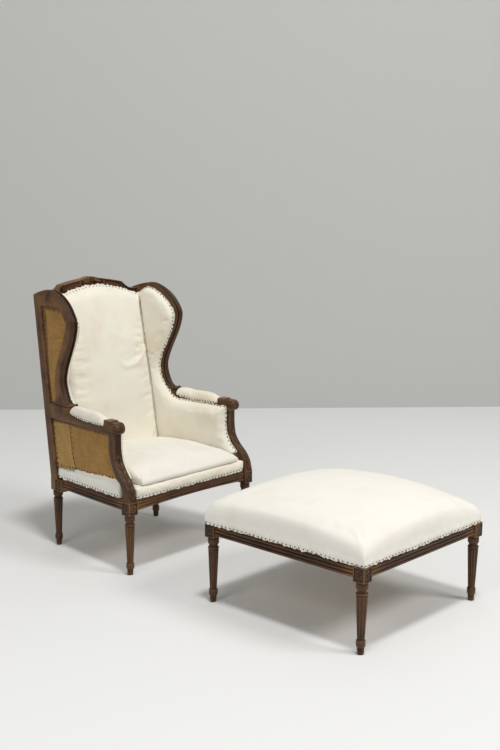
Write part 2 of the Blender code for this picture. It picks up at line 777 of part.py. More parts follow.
def webbing(name, place, count, parent):
    """Crossed straps as one flat lattice. place turns shares from -1 to 1 and a height into a point."""
    cells = 2 * count + 1
    bm = bmesh.new()
    bmesh.ops.create_grid(bm, x_segments=cells, y_segments=cells, size=1)
    open_cells = []
    for face in bm.faces:
        middle = face.calc_center_median()
        column = int((middle.x + 1) * cells / 2)
        row = int((middle.y + 1) * cells / 2)
        if column % 2 and row % 2:
            open_cells.append(face)
    bmesh.ops.delete(bm, geom=open_cells, context="FACES")
    made = bmesh.ops.extrude_face_region(bm, geom=bm.faces[:])
    raised = [item for item in made["geom"] if isinstance(item, bmesh.types.BMVert)]
    for vert in bm.verts:
        vert.co = place(vert.co.x, vert.co.y, WEBBING_THICKNESS if vert in raised else 0)
    deliver(name, bm, WEBBING, parent)


def cushion(name, form, parent, cuts=CUSHION_CUTS):
    """A padded form: a divided cube whose points, from -1 to 1 each way, form() puts in place."""
    bm = bmesh.new()
    bmesh.ops.create_cube(bm, size=2)
    bmesh.ops.subdivide_edges(bm, edges=bm.edges[:], cuts=cuts, use_grid_fill=True)
    for vert in bm.verts:
        vert.co = form(*vert.co)
    deliver(name, bm, CALICO, parent, crease=radians(60))


def seat_half_width(depth, out):
    """Half the seat's width at a depth, out to a line beside the side rails."""
    return side_point(1, along_at(depth, out), out, 0).x


def seat_base_form(u, v, w):
    """The stuffed base of the seat, over the webbing and between the side borders."""
    front = -RAIL_OUT
    rear = LEG_DEPTH_SPAN - RAIL_OUT
    swell = BASE_SWELL * (1 - w * w)
    depth = front + (rear - front) * (v + 1) / 2
    out = -HALF_BLOCK - BASE_SIDE_CLEARANCE
    x = u * seat_half_width(depth, out)
    if v < 0:
        depth -= swell * v * v * (1 - u**8)
    return Vector((x, depth, BASE_BOTTOM + BASE_HEIGHT * (w + 1) / 2))


def seat_top_form(u, v, w):
    """The crowned top of the seat, its front edge drawn in over the border."""
    front = -RAIL_OUT
    rise = SEAT_RIM_HEIGHT + SEAT_RIM_SLOPE * v + SEAT_SIDE_CROWN * (1 - v**2) ** 0.75
    rise += SEAT_CROWN * (1 - u**2) * (1 - v**2) ** 0.75 + SEAT_REAR_CROWN * (1 - u * u) * max(v, 0) ** 2
    up = BASE_TOP + GAP + rise * (w + 1) / 2
    rear = pad_front(up) - BACK_PAD_ROOM
    round_in = SEAT_EDGE_DRAW * w * w
    depth = front + round_in + (rear - front - round_in) * (v + 1) / 2
    depth -= SEAT_FRONT_SWELL * (1 - w * w) * max(-v, 0) ** 3 * (1 - u**4)
    out = PAD_OUT - SIDE_PAD_THICKNESS - SIDE_PAD_CROWN - BASE_SIDE_CLEARANCE
    x = u * (seat_half_width(depth, out) - round_in * abs(u) ** 3)
    return Vector((x, depth, up))


def seat_border(name, side, parent):
    """The stuffed side edge of the seat, shown between the side rail and the hessian."""
    bottom = BASE_BOTTOM
    front = post_back(border_top(0)) + GAP
    rear = SIDE_RUN + REAR_BLOCK_BACK - REAR_BLOCK_DEPTH - GAP
    outer = RAIL_OUT - BORDER_INSET
    inner = -HALF_BLOCK - BASE_SIDE_CLEARANCE + GAP
    section = ((inner, 0), (outer, 0), (outer + BORDER_INSET, 0.35), (outer, 0.85), (outer - BORDER_INSET, 1), (inner, 1))
    rings = []
    for along in (front, (front + rear) / 2, rear):
        height = border_top(along) - bottom
        rings.append([side_point(side, along, out, bottom + height * up) for out, up in section])
    over_block = BLOCK_TOP + REAR_BLOCK_SHOULDER + BORDER_OVER_BLOCK
    height = border_top(stile_front(border_top(SIDE_RUN))) - over_block
    levels = [(out, over_block + height * up) for out, up in section]
    rings.append([side_point(side, stile_front(up) - GAP, out, up) for out, up in levels])
    deliver(name, loft(rings), CALICO, parent)


# Share of the back's height over which its crown swells out above the seat
BACK_CROWN_START_SHARE = 0.25


def pad_front(up):
    """Depth of the inside back pad's front at its sides, at a height."""
    lean = BACK_PAD_LEAN * (STILE_TOP - up) / (STILE_TOP - BASE_TOP)
    return back_depth(up) - CREST_THICKNESS - GAP - BACK_PAD_THICKNESS - lean


def back_pad_form(u, v, w):
    """The inside back: leaning with the stiles, crowned, its top following the crest."""
    low = BASE_TOP + BACK_PAD_ROOM
    up = low + (tack_line(u) - low) * (w + 1) / 2
    rear = back_depth(up) - CREST_THICKNESS - GAP
    over_seat = max(up - BASE_TOP - SEAT_RIM_HEIGHT - SEAT_SIDE_CROWN - SEAT_CROWN, 0) / (STILE_TOP - BASE_TOP)
    crown = BACK_PAD_CROWN * (1 - u**4) * (1 - w * w) * min(over_seat / BACK_CROWN_START_SHARE, 1)
    front = pad_front(up) - crown + BACK_PAD_DRAW * max(w, 0) ** 4
    depth = front + (rear - front) * (v + 1) / 2
    out = PAD_OUT - SIDE_PAD_THICKNESS - SIDE_PAD_CROWN - BASE_SIDE_CLEARANCE
    return Vector((u * seat_half_width(depth, out), depth, up))


def inset(outline, distance):
    """An outline drawn in evenly. Its points run anticlockwise."""
    drawn = []
    count = len(outline)
    for i in range(count):
        before, here, after = (Vector(outline[(i + step) % count]) for step in (-1, 0, 1))
        first, second = (here - before).normalized(), (after - here).normalized()
        normal = Vector((-first.y - second.y, first.x + second.x)).normalized()
        lean = max(normal.dot(Vector((-first.y, first.x))), 0.5)
        drawn.append(tuple(here + normal * (distance / lean)))
    return drawn


def side_pad_outline():
    """(along, up) round the inside wing and arm cover, anticlockwise as the outline is drawn."""
    wing = []
    for point, across in wing_edge()[::2]:
        place = point + across * SIDE_PAD_EDGE
        if place.x < stile_front(place.y) and place.y > WING_BASE + SIDE_PAD_EDGE:
            wing.append((place.x, place.y))
    top = wing[-1][1]
    arm_edge = ARM_TOP - GAP
    curl = [
        (wing_foot() - SIDE_PAD_EDGE * 2, arm_edge + ARM_PLATE_RISE),
        (wing_foot() + SIDE_PAD_EDGE / 2, arm_edge + SIDE_PAD_EDGE),
    ]
    post = []
    for share in (1, 0.75, 0.5, 0.25, 0):
        low = border_top(0) + GAP
        up = low + (arm_edge - low) * share
        post.append((post_place(up)[0], up))
    post[-1] = over_border(post[-1][0], GAP)
    low_rear = stile_front(border_top(SIDE_RUN))
    outline = [over_border(low_rear, GAP)]
    outline += [(stile_front(up), up) for up in (ARM_UNDERSIDE, top)]
    outline += wing[::-1] + curl[::-1] + post
    return outline


def side_pad(name, side, parent):
    """The one cover inside the wing and the arm, rounded towards the sitter."""
    outline = side_pad_outline()
    face = PAD_OUT - SIDE_PAD_THICKNESS
    layers = (
        (outline, PAD_OUT),
        (outline, face + SIDE_PAD_ROUND),
        (inset(outline, SIDE_PAD_ROUND / 2), face),
        (inset(outline, SIDE_PAD_SOFTEN), face - SIDE_PAD_CROWN),
    )
    rings = [[side_point(side, along, out, up) for along, up in layer] for layer, out in layers]
    deliver(name, loft(rings), CALICO, parent)


# How far the arm pad draws in at its edges, as a share of its width
ARM_PAD_DRAW_SHARE = 0.12


def arm_pad(name, side, parent):
    """The pad on the arm, between the plate behind the scroll and the foot of the wing."""

    def form(u, v, w):
        swell = 1 - ARM_PAD_DRAW_SHARE * w * w
        out = PAD_OUT + GAP + (1 + u * swell) * ARM_PAD_WIDTH / 2
        bottom = ARM_TOP + GAP + ARM_TOP_RISE * max(v - ARM_RISE_START, 0) / (1 - ARM_RISE_START)
        drop = 1 - (ARM_PAD_FRONT_DROP if v < 0 else ARM_PAD_REAR_DROP) * abs(v) ** 3.6
        height = (ARM_PAD_HEIGHT * (1 - 0.35 * abs(u) ** 2.5) + ARM_PAD_CROWN * (1 - u * u)) * drop
        return side_point(side, arm_pad_place(v), out, bottom + height * (w + 1) / 2)

    cushion(name, form, parent, cuts=4)


def arm_hessian_outline():
    """(along, up) of the opening between post, arm rail, stile and the side border."""
    foot, rear_foot = border_ends(2 * GAP)
    ups = [station[0] for station in post_stations() if station[0] > foot[1]]
    outline = [foot] + [(post_back(up) + GAP, up) for up in ups[:-1]]
    top = ARM_UNDERSIDE - GAP
    outline += [(post_back(top) + GAP, top), (stile_front(top), top), rear_foot]
    return outline


# Footstool


def stool_pad_form(u, v, w):
    """The domed footstool pad: an upright border, then a full crown."""
    bottom = STOOL_RAIL_TOP + WEBBING_THICKNESS + 2 * GAP
    half = STOOL_SPAN / 2 + HALF_BLOCK - STOOL_DRAW
    reach = half + STOOL_SWELL * (1 - w * w) + STOOL_DRAW * (1 - max(w, 0) ** 2)
    reach *= 1 - STOOL_CORNER_SOFTEN * u * u * v * v * max(w, 0)
    height = STOOL_BORDER_HEIGHT + STOOL_EDGE_CROWN * (1 - (u * u + v * v) / 2)
    height += STOOL_CROWN * (1 - abs(u) ** 3) * (1 - abs(v) ** 3)
    return Vector((u * reach, v * reach, bottom + height * (w + 1) / 2))


def build_footstool(parent):
    """Four legs, four rails and braces, webbing and the pad."""
    half = STOOL_SPAN / 2
    for end, b in (("front", -1), ("rear", 1)):
        for hand, a in (("left", -1), ("right", 1)):
            plain_leg(f"footstool_leg_{end}_{hand}", (a * half, b * half), STOOL_LEG_HEIGHT, parent)
            corner_brace(f"footstool_brace_{end}_{hand}", stool_corner(a, b), STOOL_RAIL_TOP - GAP, parent)
    length = half - HALF_BLOCK - GAP
    face = half + RAIL_OUT
    cross_rail("footstool_rail_front", length, -face, -1, STOOL_RAIL_BOTTOM, parent)
    cross_rail("footstool_rail_rear", length, face, 1, STOOL_RAIL_BOTTOM, parent)
    for hand, a in (("left", -1), ("right", 1)):
        ends = []
        for y in (-length, length):
            profile = rail_profile(RAIL_THICKNESS)
            ends.append([Vector((a * (face + back), y, STOOL_RAIL_BOTTOM + up)) for back, up in profile])
        deliver(f"footstool_rail_{hand}", loft(ends), WOOD, parent)
    reach = face - RAIL_SETBACK

    def place(u, v, up):
        return Vector((u * reach, v * reach, STOOL_RAIL_TOP + GAP + up))

    webbing("footstool_webbing", place, STOOL_STRAP_COUNT, parent)
    cushion("footstool_pad", stool_pad_form, parent)


def build_chair(parent):
    """The chair, frame first, then its upholstery."""
    block_in = FRONT_LEG_SPAN / 2 - HALF_BLOCK - GAP
    cross_rail("front_seat_rail", block_in, -RAIL_OUT, -1, RAIL_BOTTOM, parent, FRONT_RAIL_ARCH)
    rear_seat_rail(parent)
    for hand, side in (("left", -1), ("right", 1)):
        plain_leg(f"front_leg_{hand}", (side * FRONT_LEG_SPAN / 2, 0), LEG_HEIGHT, parent)
        rear_leg(f"rear_leg_{hand}", side, parent)
        side_rail(f"side_seat_rail_{hand}", side, parent)
        corner_brace(f"front_brace_{hand}", chair_corner(side, False), RAIL_TOP - GAP, parent)
        corner_brace(f"rear_brace_{hand}", chair_corner(side, True), RAIL_TOP - GAP, parent)
        arm_post(f"arm_post_{hand}", side, parent)
        slab(f"arm_rail_{hand}", side, arm_outline(), HALF_BLOCK, HALF_BLOCK - ARM_RAIL_WIDTH, WOOD, parent)
        tack_rail(f"arm_tack_rail_{hand}", side, parent)
        stuffing_upright(f"stuffing_upright_{hand}", side, parent)
        wing_board(f"wing_front_{hand}", side, wing_front_stations(), parent)
        wing_board(f"wing_top_{hand}", side, wing_top_stations(), parent)
        face = HALF_BLOCK - HESSIAN_RECESS
        openings = (("outside_wing_hessian", wing_opening(GAP)), ("outside_arm_hessian", arm_hessian_outline()))
        for piece, outline in openings:
            slab(f"{piece}_{hand}", side, outline, face, face - HESSIAN_THICKNESS, HESSIAN, parent)
        seat_border(f"seat_border_{hand}", side, parent)
        side_pad(f"inside_wing_and_arm_{hand}", side, parent)
        arm_pad(f"arm_pad_{hand}", side, parent)
    crest_rail(parent)
    lower_back_rail(parent)
    back_hessian(parent)

    def place(u, v, up):
        front, rear = -RAIL_OUT + RAIL_SETBACK, LEG_DEPTH_SPAN + REAR_BLOCK_BACK - 2 * RAIL_SETBACK
        depth = front + (rear - front) * (v + 1) / 2
        return Vector((u * seat_half_width(depth, -HALF_BLOCK - BASE_SIDE_CLEARANCE), depth, RAIL_TOP + GAP + up))

    webbing("seat_webbing", place, STRAP_COUNT, parent)
    cushion("seat_base", seat_base_form, parent)
    cushion("seat_top", seat_top_form, parent)
    cushion("inside_back", back_pad_form, parent)


# The origin is on the floor, under the middle of the chair and footstool together
STOOL_HALF = STOOL_SPAN / 2 + HALF_BLOCK + STOOL_SWELL
STOOL_REACH = STOOL_HALF * (cos(STOOL_TURN) + abs(sin(STOOL_TURN)))
FRONT_LIMIT = -STOOL_DISTANCE - STOOL_REACH
REAR_LIMIT = back_depth(CREST_PEAK)
MIDDLE = (FRONT_LIMIT + REAR_LIMIT) / 2

build_chair(empty("chair_origin", (0, -MIDDLE, 0)))
build_footstool(empty("footstool_origin", (0, -STOOL_DISTANCE - MIDDLE, 0), STOOL_TURN))
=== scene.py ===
# %% [markdown]
# # A wing armchair and its footstool
# The chair is an old carved walnut frame whose top cover has been stripped off. What shows is the
# cream calico over the stuffing, the golden hessian outside the wings and arms, and hundreds of dark
# tacks. The CAD model gives every piece its place. This script dresses it: new carved wood, padded
# calico and woven hessian, all in metres and in the same frame as the CAD.

# %% Load the frame
from math import atan2, cos, exp, hypot, pi, radians, sin, sqrt, tan

import bmesh
import bpy
import numpy as np
from mathutils import Euler, Matrix, Vector, noise
from mathutils.bvhtree import BVHTree
from mathutils.kdtree import KDTree


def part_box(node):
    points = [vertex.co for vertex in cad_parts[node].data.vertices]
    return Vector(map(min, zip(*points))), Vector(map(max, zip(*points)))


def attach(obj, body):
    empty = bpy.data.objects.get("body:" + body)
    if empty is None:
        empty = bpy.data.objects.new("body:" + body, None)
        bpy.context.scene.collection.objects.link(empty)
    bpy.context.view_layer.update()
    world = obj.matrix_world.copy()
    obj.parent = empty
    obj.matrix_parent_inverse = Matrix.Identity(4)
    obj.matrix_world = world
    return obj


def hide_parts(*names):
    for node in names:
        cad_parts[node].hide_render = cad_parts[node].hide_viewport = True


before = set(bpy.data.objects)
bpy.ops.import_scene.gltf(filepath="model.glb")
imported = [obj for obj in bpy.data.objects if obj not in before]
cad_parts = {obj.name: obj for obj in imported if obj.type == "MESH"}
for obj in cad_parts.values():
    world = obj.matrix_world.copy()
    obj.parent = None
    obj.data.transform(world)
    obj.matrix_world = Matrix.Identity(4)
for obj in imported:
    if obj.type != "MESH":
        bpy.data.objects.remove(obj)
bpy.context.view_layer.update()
print("nodes in the frame:", len(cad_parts))

# %% [markdown]
# ## Measuring along the sides of the chair
# The sides of the seat splay: the front legs stand further apart than the rear ones. A chair maker
# measures beside the side rail, so this script does too: "along" runs back beside the rail, "out"
# runs outward from the line of leg centres, and "up" is the height. One function turns the three
# into a point, on the left (side -1) or the right (side 1).

# %% Places on the chair
FRONT_SPAN, REAR_SPAN, DEPTH_SPAN = 0.651, 0.549, 0.482
SPLAY = atan2((FRONT_SPAN - REAR_SPAN) / 2, DEPTH_SPAN)
SIDE_RUN = hypot((FRONT_SPAN - REAR_SPAN) / 2, DEPTH_SPAN)
SIDES = (("left", -1), ("right", 1))
CHAIR_Y = sum(corner.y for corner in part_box("front_leg_left")) / 2


def side_point(side, along, out, up):
    """A point beside a side rail of the chair."""
    x = FRONT_SPAN / 2 - along * sin(SPLAY) + out * cos(SPLAY)
    return Vector((side * x, CHAIR_Y + along * cos(SPLAY) + out * sin(SPLAY), up))


def side_way(side, along=0, out=0):
    """A direction on a side of the chair: back beside the rail, or out from it."""
    return (side_point(side, along, out, 0) - side_point(side, 0, 0, 0)).normalized()


def chair_point(x, depth, up):
    """A point given by its depth behind the line of the front legs."""
    return Vector((x, CHAIR_Y + depth, up))


def along_at(depth, out):
    """How far along the side a plane square to the chair is met, depth behind the front legs."""
    return (depth - out * sin(SPLAY)) / cos(SPLAY)


def half_width(depth, out):
    """Half the width between two lines beside the side rails, at a depth."""
    return side_point(1, along_at(depth, out), out, 0).x


def between(a, b, share):
    """The number that lies a share of the way from a to b."""
    return a + (b - a) * share


def evenly(low, high, steps):
    """Numbers from low to high in equal steps, both ends included."""
    return [between(low, high, i / steps) for i in range(steps + 1)]


def circle(steps):
    """Points round a circle of radius 1."""
    return [(cos(2 * pi * i / steps), sin(2 * pi * i / steps)) for i in range(steps)]


def clamp(value, low=0.0, high=1.0):
    """The value, kept between two limits."""
    return min(max(value, low), high)


def bell(away, wide):
    """A smooth hump: 1 at no distance, fading away beyond its width."""
    return exp(-((away / wide) ** 2))


def curve_through(points, steps):
    """Points along a smooth curve that passes through every given point."""
    ends_doubled = [points[0], *points, points[-1]]
    made = []
    for a, b, c, d in zip(ends_doubled, ends_doubled[1:], ends_doubled[2:], ends_doubled[3:]):
        for step in range(steps):
            t = step / steps
            spot = []
            for p, q, r, s in zip(a, b, c, d):
                bend = (2 * p - 5 * q + 4 * r - s) * t**2 + (3 * q - p - 3 * r + s) * t**3
                spot.append((2 * q + (r - p) * t + bend) / 2)
            made.append(tuple(spot))
    made.append(tuple(points[-1]))
    return made


def along_path(points, pitch):
    """Evenly spaced (point, direction) along a path of points, about pitch apart."""
    lengths = [(b - a).length for a, b in zip(points, points[1:])]
    total = sum(lengths)
    count = max(round(total / pitch), 1)
    places = []
    for i in range(count):
        target, k = (i + 0.5) / count * total, 0
        while k < len(lengths) - 1 and target > lengths[k]:
            target -= lengths[k]
            k += 1
        run = points[k + 1] - points[k]
        places.append((points[k] + run * (target / max(lengths[k], 1e-9)), run.normalized()))
    return places


print(f"splay {SPLAY:.4f}, side run {SIDE_RUN:.4f} m, chair legs at y {CHAIR_Y:.4f}")

# %% [markdown]
# ## The camera
# The photograph was taken from the left front of the chair, a little above the wings, and the
# perspective lines of the seat, the footstool and the legs give the camera's place and lens. The
# picture is taller than it is wide, so the sensor's 36 mm run along its height.

# %% Camera
PICTURE_HEIGHT, FOCAL_PIXELS = 750, 1100
CAMERA_PLACE = (-3.032, CHAIR_Y - 2.9478, 1.4267)
CAMERA_VIEW = (0.7439, 0.6480, -0.1634)
CAMERA_ROLL = 0.0092

lens = bpy.data.cameras.new("studio_camera")
lens.sensor_width = 36
lens.lens = FOCAL_PIXELS / PICTURE_HEIGHT * lens.sensor_width
camera = bpy.data.objects.new("studio_camera", lens)
bpy.context.scene.collection.objects.link(camera)
view = Vector(CAMERA_VIEW).normalized()
level_right = view.cross(Vector((0, 0, 1))).normalized()
level_up = level_right.cross(view)
right = level_right * cos(CAMERA_ROLL) + level_up * sin(CAMERA_ROLL)
up = level_up * cos(CAMERA_ROLL) - level_right * sin(CAMERA_ROLL)
turned = Matrix((right, up, -view)).transposed().to_4x4()
camera.matrix_world = Matrix.Translation(CAMERA_PLACE) @ turned
bpy.context.scene.camera = camera
bpy.context.scene.view_settings.view_transform = "Standard"
print("lens", round(lens.lens, 2), "mm")

# %% [markdown]
# ## Building materials from nodes
# Every finish here is made of nodes, so a few short helpers keep them readable: one adds a node, one
# connects or sets its sockets, one mixes two colours, three do sums and one stretches a range.

# %% Node helpers


def feed(tree, node, inputs):
    """Sets a node's sockets, each to a value or to the output that feeds it."""
    for key, value in inputs.items():
        if isinstance(value, bpy.types.NodeSocket):
            tree.links.new(value, node.inputs[key])
        else:
            node.inputs[key].default_value = value


def add(tree, kind, inputs=None, **settings):
    """Adds a shader node, with its settings and what goes into its sockets."""
    made = tree.nodes.new("ShaderNode" + kind)
    for key, value in settings.items():
        setattr(made, key, value)
    feed(tree, made, inputs or {})
    return made


def mixed(tree, factor, a, b):
    """The colour between a and b."""
    return add(tree, "Mix", {0: factor, 6: a, 7: b}, data_type="RGBA", blend_type="MIX").outputs[2]


def maths(tree, operation, a, b=0.0):
    """The result of a sum."""
    return add(tree, "Math", {0: a, 1: b}, operation=operation).outputs[0]


def times(tree, a, b):
    """The product of two values."""
    return maths(tree, "MULTIPLY", a, b)


def plus(tree, a, b):
    """The sum of two values."""
    return maths(tree, "ADD", a, b)


def remap(tree, value, low, high, to_low=0.0, to_high=1.0):
    """The value moved from one range to another, and kept in it."""
    sockets = {"Value": value, "From Min": low, "From Max": high, "To Min": to_low, "To Max": to_high}
    return add(tree, "MapRange", sockets).outputs[0]


def scaled(tree, vector, factors):
    """The vector with each of its parts multiplied."""
    return add(tree, "VectorMath", {0: vector, 1: factors}, operation="MULTIPLY").outputs[0]


def noise_node(tree, vector, scale, detail=3.0, rough=0.5, distortion=0.0):
    """A noise texture over a vector."""
    sockets = {"Vector": vector, "Scale": scale, "Detail": detail}
    return add(tree, "TexNoise", {**sockets, "Roughness": rough, "Distortion": distortion})


def cloud(tree, vector, scale, detail=3.0, rough=0.5, distortion=0.0):
    """A noise value from 0 to 1."""
    return noise_node(tree, vector, scale, detail, rough, distortion).outputs[0]


def relief(tree, height, strength, distance):
    """The bumps that a height gives a surface."""
    return add(tree, "Bump", {"Strength": strength, "Distance": distance, "Height": height}).outputs[0]


def node_group(name, inputs, outputs):
    """A new shader node group. Returns its tree, its inputs by name and its output node."""
    tree = bpy.data.node_groups.new(name, "ShaderNodeTree")
    kinds = {"vector": "NodeSocketVector", "color": "NodeSocketColor", "value": "NodeSocketFloat"}
    for way, sockets in (("INPUT", inputs), ("OUTPUT", outputs)):
        for socket, kind in sockets.items():
            tree.interface.new_socket(socket, in_out=way, socket_type=kinds[kind])
    given = tree.nodes.new("NodeGroupInput").outputs
    return tree, given, tree.nodes.new("NodeGroupOutput")


def use_group(tree, group, inputs):
    """Places a node group in a material with its own values."""
    return add(tree, "Group", inputs, node_tree=group).outputs


def new_look(name):
    """A new material, with its tree and its shader."""
    look = bpy.data.materials.new(name)
    look.use_nodes = True
    return look, look.node_tree, look.node_tree.nodes["Principled BSDF"]


# %% [markdown]
# ## Old walnut
# The frame is walnut under old wax: a deep brown ground, paler and more orange where hands and cloths
# have rubbed it. Its hollows and grooves are darkened nearly to black, partly as wax dirt and partly as
# painted shade, where ambient occlusion and the curvature of the surface find them. Wood has long
# streaks in one direction, so its noise is stretched along the grain. One group makes the grain and a
# second one ages it and paints shade into its hollows. The grain runs with each piece: up a leg, across
# a front rail, or along a curved piece by its own UV map.

# %% Walnut groups
timber, given, sink = node_group(
    "timber_grain",
    {"Vector": "vector", "Dark": "color", "Light": "color"},
    {"Color": "color", "Roughness": "value", "Height": "value"},
)
streaks = cloud(timber, scaled(timber, given["Vector"], (95, 95, 5)), 1.0, 7, 0.62, 1.1)
bands = cloud(timber, scaled(timber, given["Vector"], (26, 26, 2.2)), 1.0, 3, 0.5, 0.6)
pores = remap(timber, cloud(timber, scaled(timber, given["Vector"], (1500, 1500, 60)), 1.0, 2), 0.60, 0.70)
tone = plus(timber, times(timber, streaks, 0.62), times(timber, bands, 0.38))
ground = mixed(timber, remap(timber, tone, 0.36, 0.62), given["Dark"], given["Light"])
ground = mixed(timber, times(timber, pores, 0.55), ground, given["Dark"])
dullness = remap(timber, plus(timber, streaks, times(timber, pores, 0.3)), 0.3, 0.9, 0.34, 0.58)
height = maths(timber, "SUBTRACT", times(timber, streaks, 0.35), times(timber, pores, 0.5))
feed(timber, sink, {"Color": ground, "Roughness": dullness, "Height": height})

ageing_and_shade, given, sink = node_group(
    "age_and_wear",
    {
        "Color": "color", "Openness": "value", "Edge": "value", "Vector": "vector",
        "Dirt": "color", "Rubbed": "color", "Grime": "value",
    },
    {"Color": "color", "Rub": "value"},
)
patches = cloud(ageing_and_shade, given["Vector"], 14.0, 4, 0.6)
rub = times(ageing_and_shade, remap(ageing_and_shade, given["Edge"], 0.505, 0.56), remap(ageing_and_shade, patches, 0.34, 0.60))
# Painted shade and dirt: where ambient occlusion finds the surface closed in, and along concave grooves, the
# wood is darkened towards the dirt colour.
corner_shade_and_dirt = remap(ageing_and_shade, given["Openness"], 0.40, 0.95, 0.94, 0.0)
groove_shade_and_dirt = remap(ageing_and_shade, given["Edge"], 0.440, 0.490, 0.66, 0.0)
hollow = maths(ageing_and_shade, "MAXIMUM", corner_shade_and_dirt, groove_shade_and_dirt)
aged = mixed(ageing_and_shade, times(ageing_and_shade, rub, 0.62), given["Color"], given["Rubbed"])
aged = mixed(ageing_and_shade, times(ageing_and_shade, remap(ageing_and_shade, patches, 0.55, 0.75), 0.22), aged, given["Dirt"])
hollow = times(ageing_and_shade, hollow, given["Grime"])
feed(ageing_and_shade, sink, {"Color": mixed(ageing_and_shade, hollow, aged, given["Dirt"]), "Rub": rub})

# %% Walnut for each direction of grain
WALNUT_DARK, WALNUT_LIGHT = (0.015, 0.0062, 0.0026, 1), (0.105, 0.0435, 0.0150, 1)
RAIL_DARK, RAIL_LIGHT = (0.018, 0.0075, 0.0030, 1), (0.128, 0.0545, 0.0190, 1)
# The dirt colour also paints the shade in the hollows; the rails get less of this painted shade and dirt.
WAX_DIRT_AND_SHADE, WALNUT_RUBBED = (0.0075, 0.0042, 0.0030, 1), (0.29, 0.150, 0.058, 1)
RAIL_SHADE_AND_GRIME = 0.72


def grain_vector(tree, direction):
    """A place whose third part runs along the grain: UP, ACROSS, ALONG, or PIECE for the UV map."""
    if direction == "PIECE":
        parts = add(tree, "SeparateXYZ", {0: add(tree, "UVMap", uv_map="Grain").outputs[0]}).outputs
        return add(tree, "CombineXYZ", {0: parts[0], 1: 0.0, 2: parts[1]}).outputs[0]
    parts = add(tree, "SeparateXYZ", {0: add(tree, "TexCoord").outputs["Object"]}).outputs
    order = {"UP": (0, 1, 2), "ACROSS": (2, 1, 0), "ALONG": (0, 2, 1)}[direction]
    return add(tree, "CombineXYZ", {i: parts[k] for i, k in enumerate(order)}).outputs[0]


def walnut(direction, dark=WALNUT_DARK, light=WALNUT_LIGHT, grime=1.0):
    """Old waxed walnut with its grain in one direction. The last argument says how strongly its hollows are
    darkened, as wax dirt and as painted shade.
    """
    look, tree, shader = new_look("walnut_" + direction.lower())
    grain = use_group(tree, timber, {"Vector": grain_vector(tree, direction), "Dark": dark, "Light": light})
    openness = add(tree, "AmbientOcclusion", {"Distance": 0.012}, samples=6, only_local=True)
    wear_and_shade_inputs = {
        "Color": grain["Color"],
        "Openness": openness.outputs["AO"],
        "Edge": add(tree, "NewGeometry").outputs["Pointiness"],
        "Vector": add(tree, "TexCoord").outputs["Object"],
        "Dirt": WAX_DIRT_AND_SHADE, "Rubbed": WALNUT_RUBBED, "Grime": grime,
    }
    finish = {
        "Base Color": use_group(tree, ageing_and_shade, wear_and_shade_inputs)["Color"], "Roughness": grain["Roughness"],
        "Normal": relief(tree, grain["Height"], 0.35, 0.0006),
        "Coat Weight": 0.08, "Coat Roughness": 0.32, "Specular IOR Level": 0.24,
    }
    feed(tree, shader, finish)
    return look


WALNUT = {direction: walnut(direction) for direction in ("UP", "PIECE")}
for direction in ("ACROSS", "ALONG"):
    WALNUT[direction] = walnut(direction, RAIL_DARK, RAIL_LIGHT, RAIL_SHADE_AND_GRIME)
print("walnut finishes:", sorted(WALNUT))

# %% [markdown]
# ## Beech, calico, hessian, webbing and iron
# Under the covers the frame is raw beech, pale and dry. Calico is a plain cotton cloth, so fine that
# only its soft colour, a few tea-coloured stains and a faint weave show. Hessian is coarse jute: the
# yarns are thick and uneven and the gaps between them dark. Its weave follows each sheet's own UV map,
# measured in metres. The tacks are blued iron, gone brown.

# %% Cloth groups
YARN_WAVES = 300.0
FLECK = (0.42, 0.33, 0.20, 1)

cotton, given, sink = node_group(
    "calico_cloth",
    {"Vector": "vector", "Cloth": "color", "Stain": "color"},
    {"Color": "color", "Roughness": "value", "Height": "value"},
)
wave_sockets = {"Scale": YARN_WAVES, "Distortion": 0.6, "Detail": 1.0, "Detail Scale": 0.4}
threads = [
    add(cotton, "TexWave", {"Vector": given["Vector"], **wave_sockets}, bands_direction=axis).outputs["Fac"]
    for axis in ("X", "Y", "Z")
]
weave = plus(cotton, plus(cotton, threads[0], threads[1]), threads[2])
slubs = cloud(cotton, given["Vector"], 420.0, 3, 0.6)
stains = remap(cotton, cloud(cotton, given["Vector"], 5.5, 5, 0.55, 0.4), 0.50, 0.72)
mottle = remap(cotton, cloud(cotton, given["Vector"], 17.0, 4, 0.5), 0.35, 0.70)
cloth = mixed(cotton, times(cotton, stains, 0.50), given["Cloth"], given["Stain"])
cloth = mixed(cotton, times(cotton, mottle, 0.16), cloth, given["Stain"])
flecks = remap(cotton, cloud(cotton, given["Vector"], 130.0, 2), 0.70, 0.76)
cloth = mixed(cotton, times(cotton, flecks, 0.22), cloth, FLECK)
dullness = remap(cotton, slubs, 0.0, 1.0, 0.86, 0.98)
height = plus(cotton, times(cotton, weave, 0.25), slubs)
feed(cotton, sink, {"Color": cloth, "Roughness": dullness, "Height": height})

